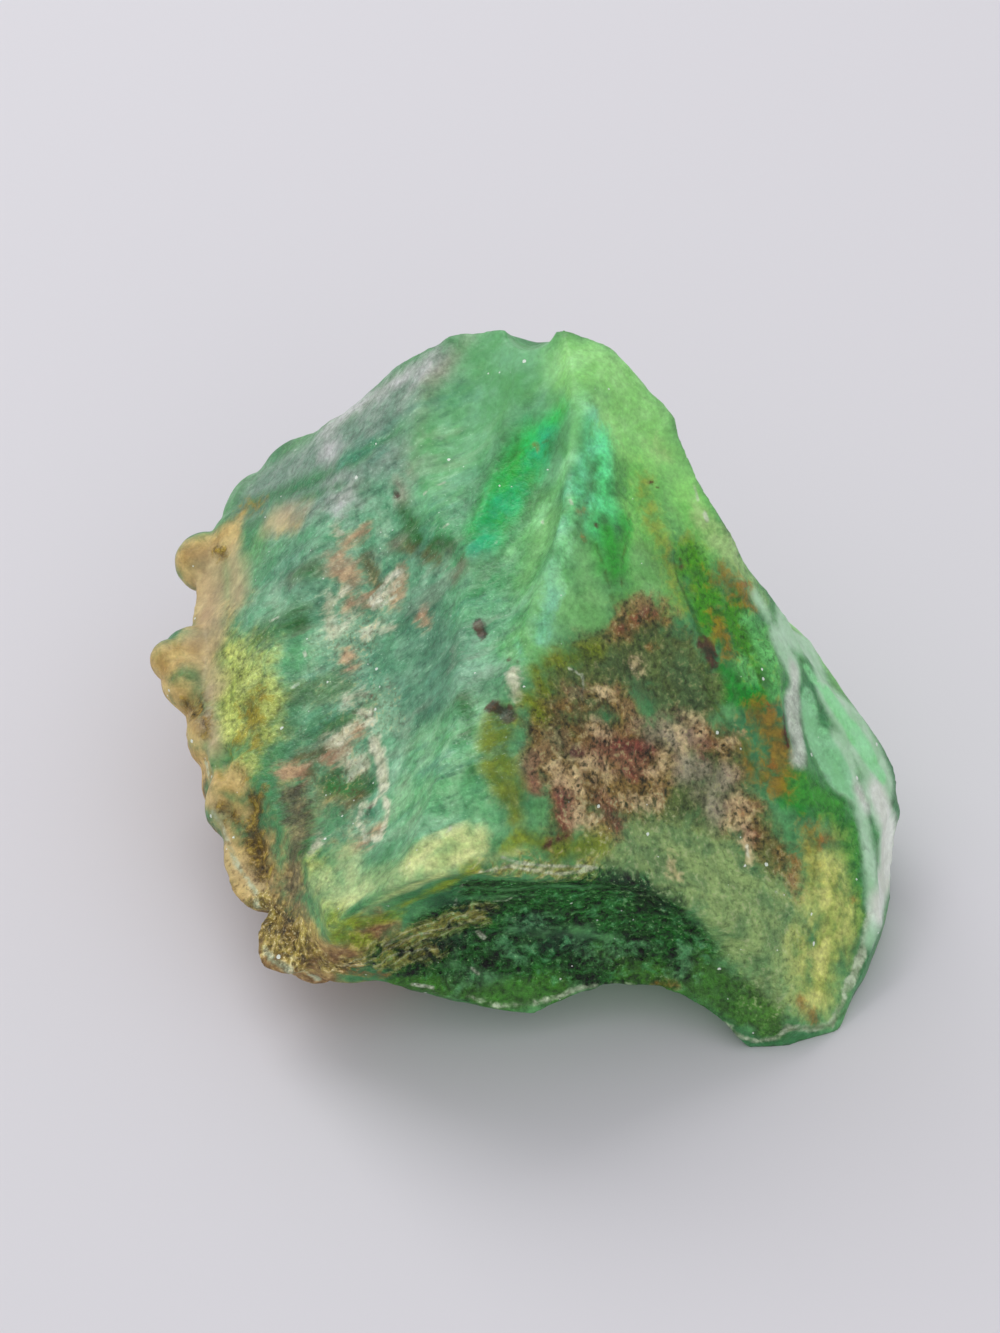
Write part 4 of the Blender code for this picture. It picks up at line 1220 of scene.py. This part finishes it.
def chalcedony(stone):
    """Chrysoprase: nickel-green chalcedony, dense quartz with a waxy skin that lets a little light in.

    To the eye it is broken green, from mint to nearly black, with brown iron stain and a duller rind.
    The near black of the front hollow is partly painted shade; the glints, the pale right end and the thin
    lower rims are painted light.
    """
    material = bpy.data.materials.new("chrysoprase_broken_and_weathered")
    material.use_nodes = True
    tree = material.node_tree
    spot = add(tree, "TexCoord", {}, "Object")
    place = add(tree, "Mapping", {"Vector": spot, "Scale": (1 / MM,) * 3})
    grains = make_grains(tree, place)
    colour, masks = paint_layers(tree, grains)
    colour = paint_flecks(tree, colour, grains, masks)
    colour, lines = paint_bands(tree, colour, place, masks["laminae"])
    rough, coarse = wear_of_layers(tree, masks)

    total = light_and_dark(tree, place, grains)
    silk = add(tree, "Math", (grains["silk"], NOISE_MIDDLE), operation="SUBTRACT")
    silk = add(tree, "Math", (silk, masks["left_face"]), operation="MULTIPLY")
    shade = add(tree, "Math", (total, coarse, 1.0), operation="MULTIPLY_ADD")
    shade = add(tree, "Math", (silk, SILK_DEPTH, shade), operation="MULTIPLY_ADD")
    hue = add(tree, "MapRange", (grains["patchy"], *HUE_SPREAD, *HUE_DRIFT))
    colour = add(tree, "HueSaturation", {"Hue": hue, "Color": colour, "Value": shade})
    colour, rough = lay_glints(tree, colour, rough, place, grains)

    height = add(tree, "Math", (silk, BUMP_SILK, total), operation="MULTIPLY_ADD")
    height = add(tree, "Math", (lines, BUMP_LINES, height), operation="MULTIPLY_ADD")
    steep = add(tree, "Math", (coarse, BUMP_STEEP), operation="MULTIPLY")
    bump = add(tree, "Bump", {"Height": height, "Strength": steep, "Distance": BUMP_DEPTH * MM})

    shader = tree.nodes["Principled BSDF"]
    shader.subsurface_method = "BURLEY"
    for name, value in {"Base Color": colour, "Roughness": rough, "Normal": bump}.items():
        tree.links.new(value, shader.inputs[name])
    for name, value in QUARTZ.items():
        shader.inputs[name].default_value = value
    stone.data.materials.append(material)


def make_stone(low, high):
    noise.seed_set(NOISE_SEED)
    stone = hull_of_corners("chrysoprase_lump")
    work = bpy.context.scene.collection
    work.objects.link(stone)
    shape_lump(stone, work)
    make_skin(stone)
    wear(stone)
    wander(stone)
    cut_resting_face(stone)
    foot = fit_box(stone, low, high)
    skin = Skin(stone.data)
    raise_relief(stone, skin, layer_depths(read_points(stone.data), skin, foot))
    thin_out(stone)
    fit_box(stone, low, high)
    skin = Skin(stone.data)
    write_layers(stone, layer_depths(read_points(stone.data), skin, foot))
    stone.data.transform(Matrix.Scale(MM, 4))
    stone.data.shade_smooth()
    chalcedony(stone)
    return stone


def make_floor():
    """A plain pale matte board under the stone."""
    bm = bmesh.new()
    bmesh.ops.create_grid(bm, x_segments=1, y_segments=1, size=FLOOR_HALF * MM)
    floor = finish_object("pale_floor", bm)
    bpy.context.scene.collection.objects.link(floor)
    material = bpy.data.materials.new("painted_board")
    material.use_nodes = True
    shader = material.node_tree.nodes["Principled BSDF"]
    shader.inputs["Base Color"].default_value = linear(FLOOR_COLOUR)
    shader.inputs["Roughness"].default_value = FLOOR_ROUGH
    shader.inputs["Specular IOR Level"].default_value = FLOOR_SHEEN
    floor.data.materials.append(material)
    return floor


def point_at(obj, where, target):
    obj.location = where * MM
    obj.rotation_mode = "QUATERNION"
    obj.rotation_quaternion = (target - where).to_track_quat("-Z", "Y")


def make_lights():
    scene = bpy.context.scene
    world = bpy.data.worlds.new("soft_room")
    world.use_nodes = True
    sky = world.node_tree.nodes["Background"]
    sky.inputs["Color"].default_value = linear(ROOM_COLOUR)
    sky.inputs["Strength"].default_value = ROOM_STRENGTH
    scene.world = world
    for name, (where, size, power, tint) in LAMPS.items():
        lamp = bpy.data.lights.new(name, "AREA")
        lamp.size = size * MM
        lamp.energy = power
        lamp.color = linear(tint)[:3]
        obj = bpy.data.objects.new(name, lamp)
        scene.collection.objects.link(obj)
        point_at(obj, Vector(where), LAMP_AIM)


def make_camera():
    lens = bpy.data.cameras.new("camera")
    lens.sensor_width = SENSOR
    lens.lens = SENSOR * VIEW_AWAY / (VIEW_TALL * VIEW_STEP)
    lens.clip_start, lens.clip_end = VIEW_CLIP
    camera = bpy.data.objects.new("camera", lens)
    bpy.context.scene.collection.objects.link(camera)
    point_at(camera, VIEW_AIM - view_ahead() * VIEW_AWAY, VIEW_AIM)
    bpy.context.scene.camera = camera


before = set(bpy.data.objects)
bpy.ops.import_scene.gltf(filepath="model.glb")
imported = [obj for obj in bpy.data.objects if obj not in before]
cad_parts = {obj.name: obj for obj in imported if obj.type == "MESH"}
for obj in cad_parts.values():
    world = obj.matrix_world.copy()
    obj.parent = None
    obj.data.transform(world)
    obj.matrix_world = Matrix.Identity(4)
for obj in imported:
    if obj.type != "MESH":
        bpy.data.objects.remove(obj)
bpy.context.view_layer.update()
stone_low, stone_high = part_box("raw_chrysoprase")
lump = make_stone(stone_low, stone_high)
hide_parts("raw_chrysoprase")
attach(lump, "root")
make_floor()
make_lights()
make_camera()
bpy.context.scene.view_settings.view_transform = "Standard"
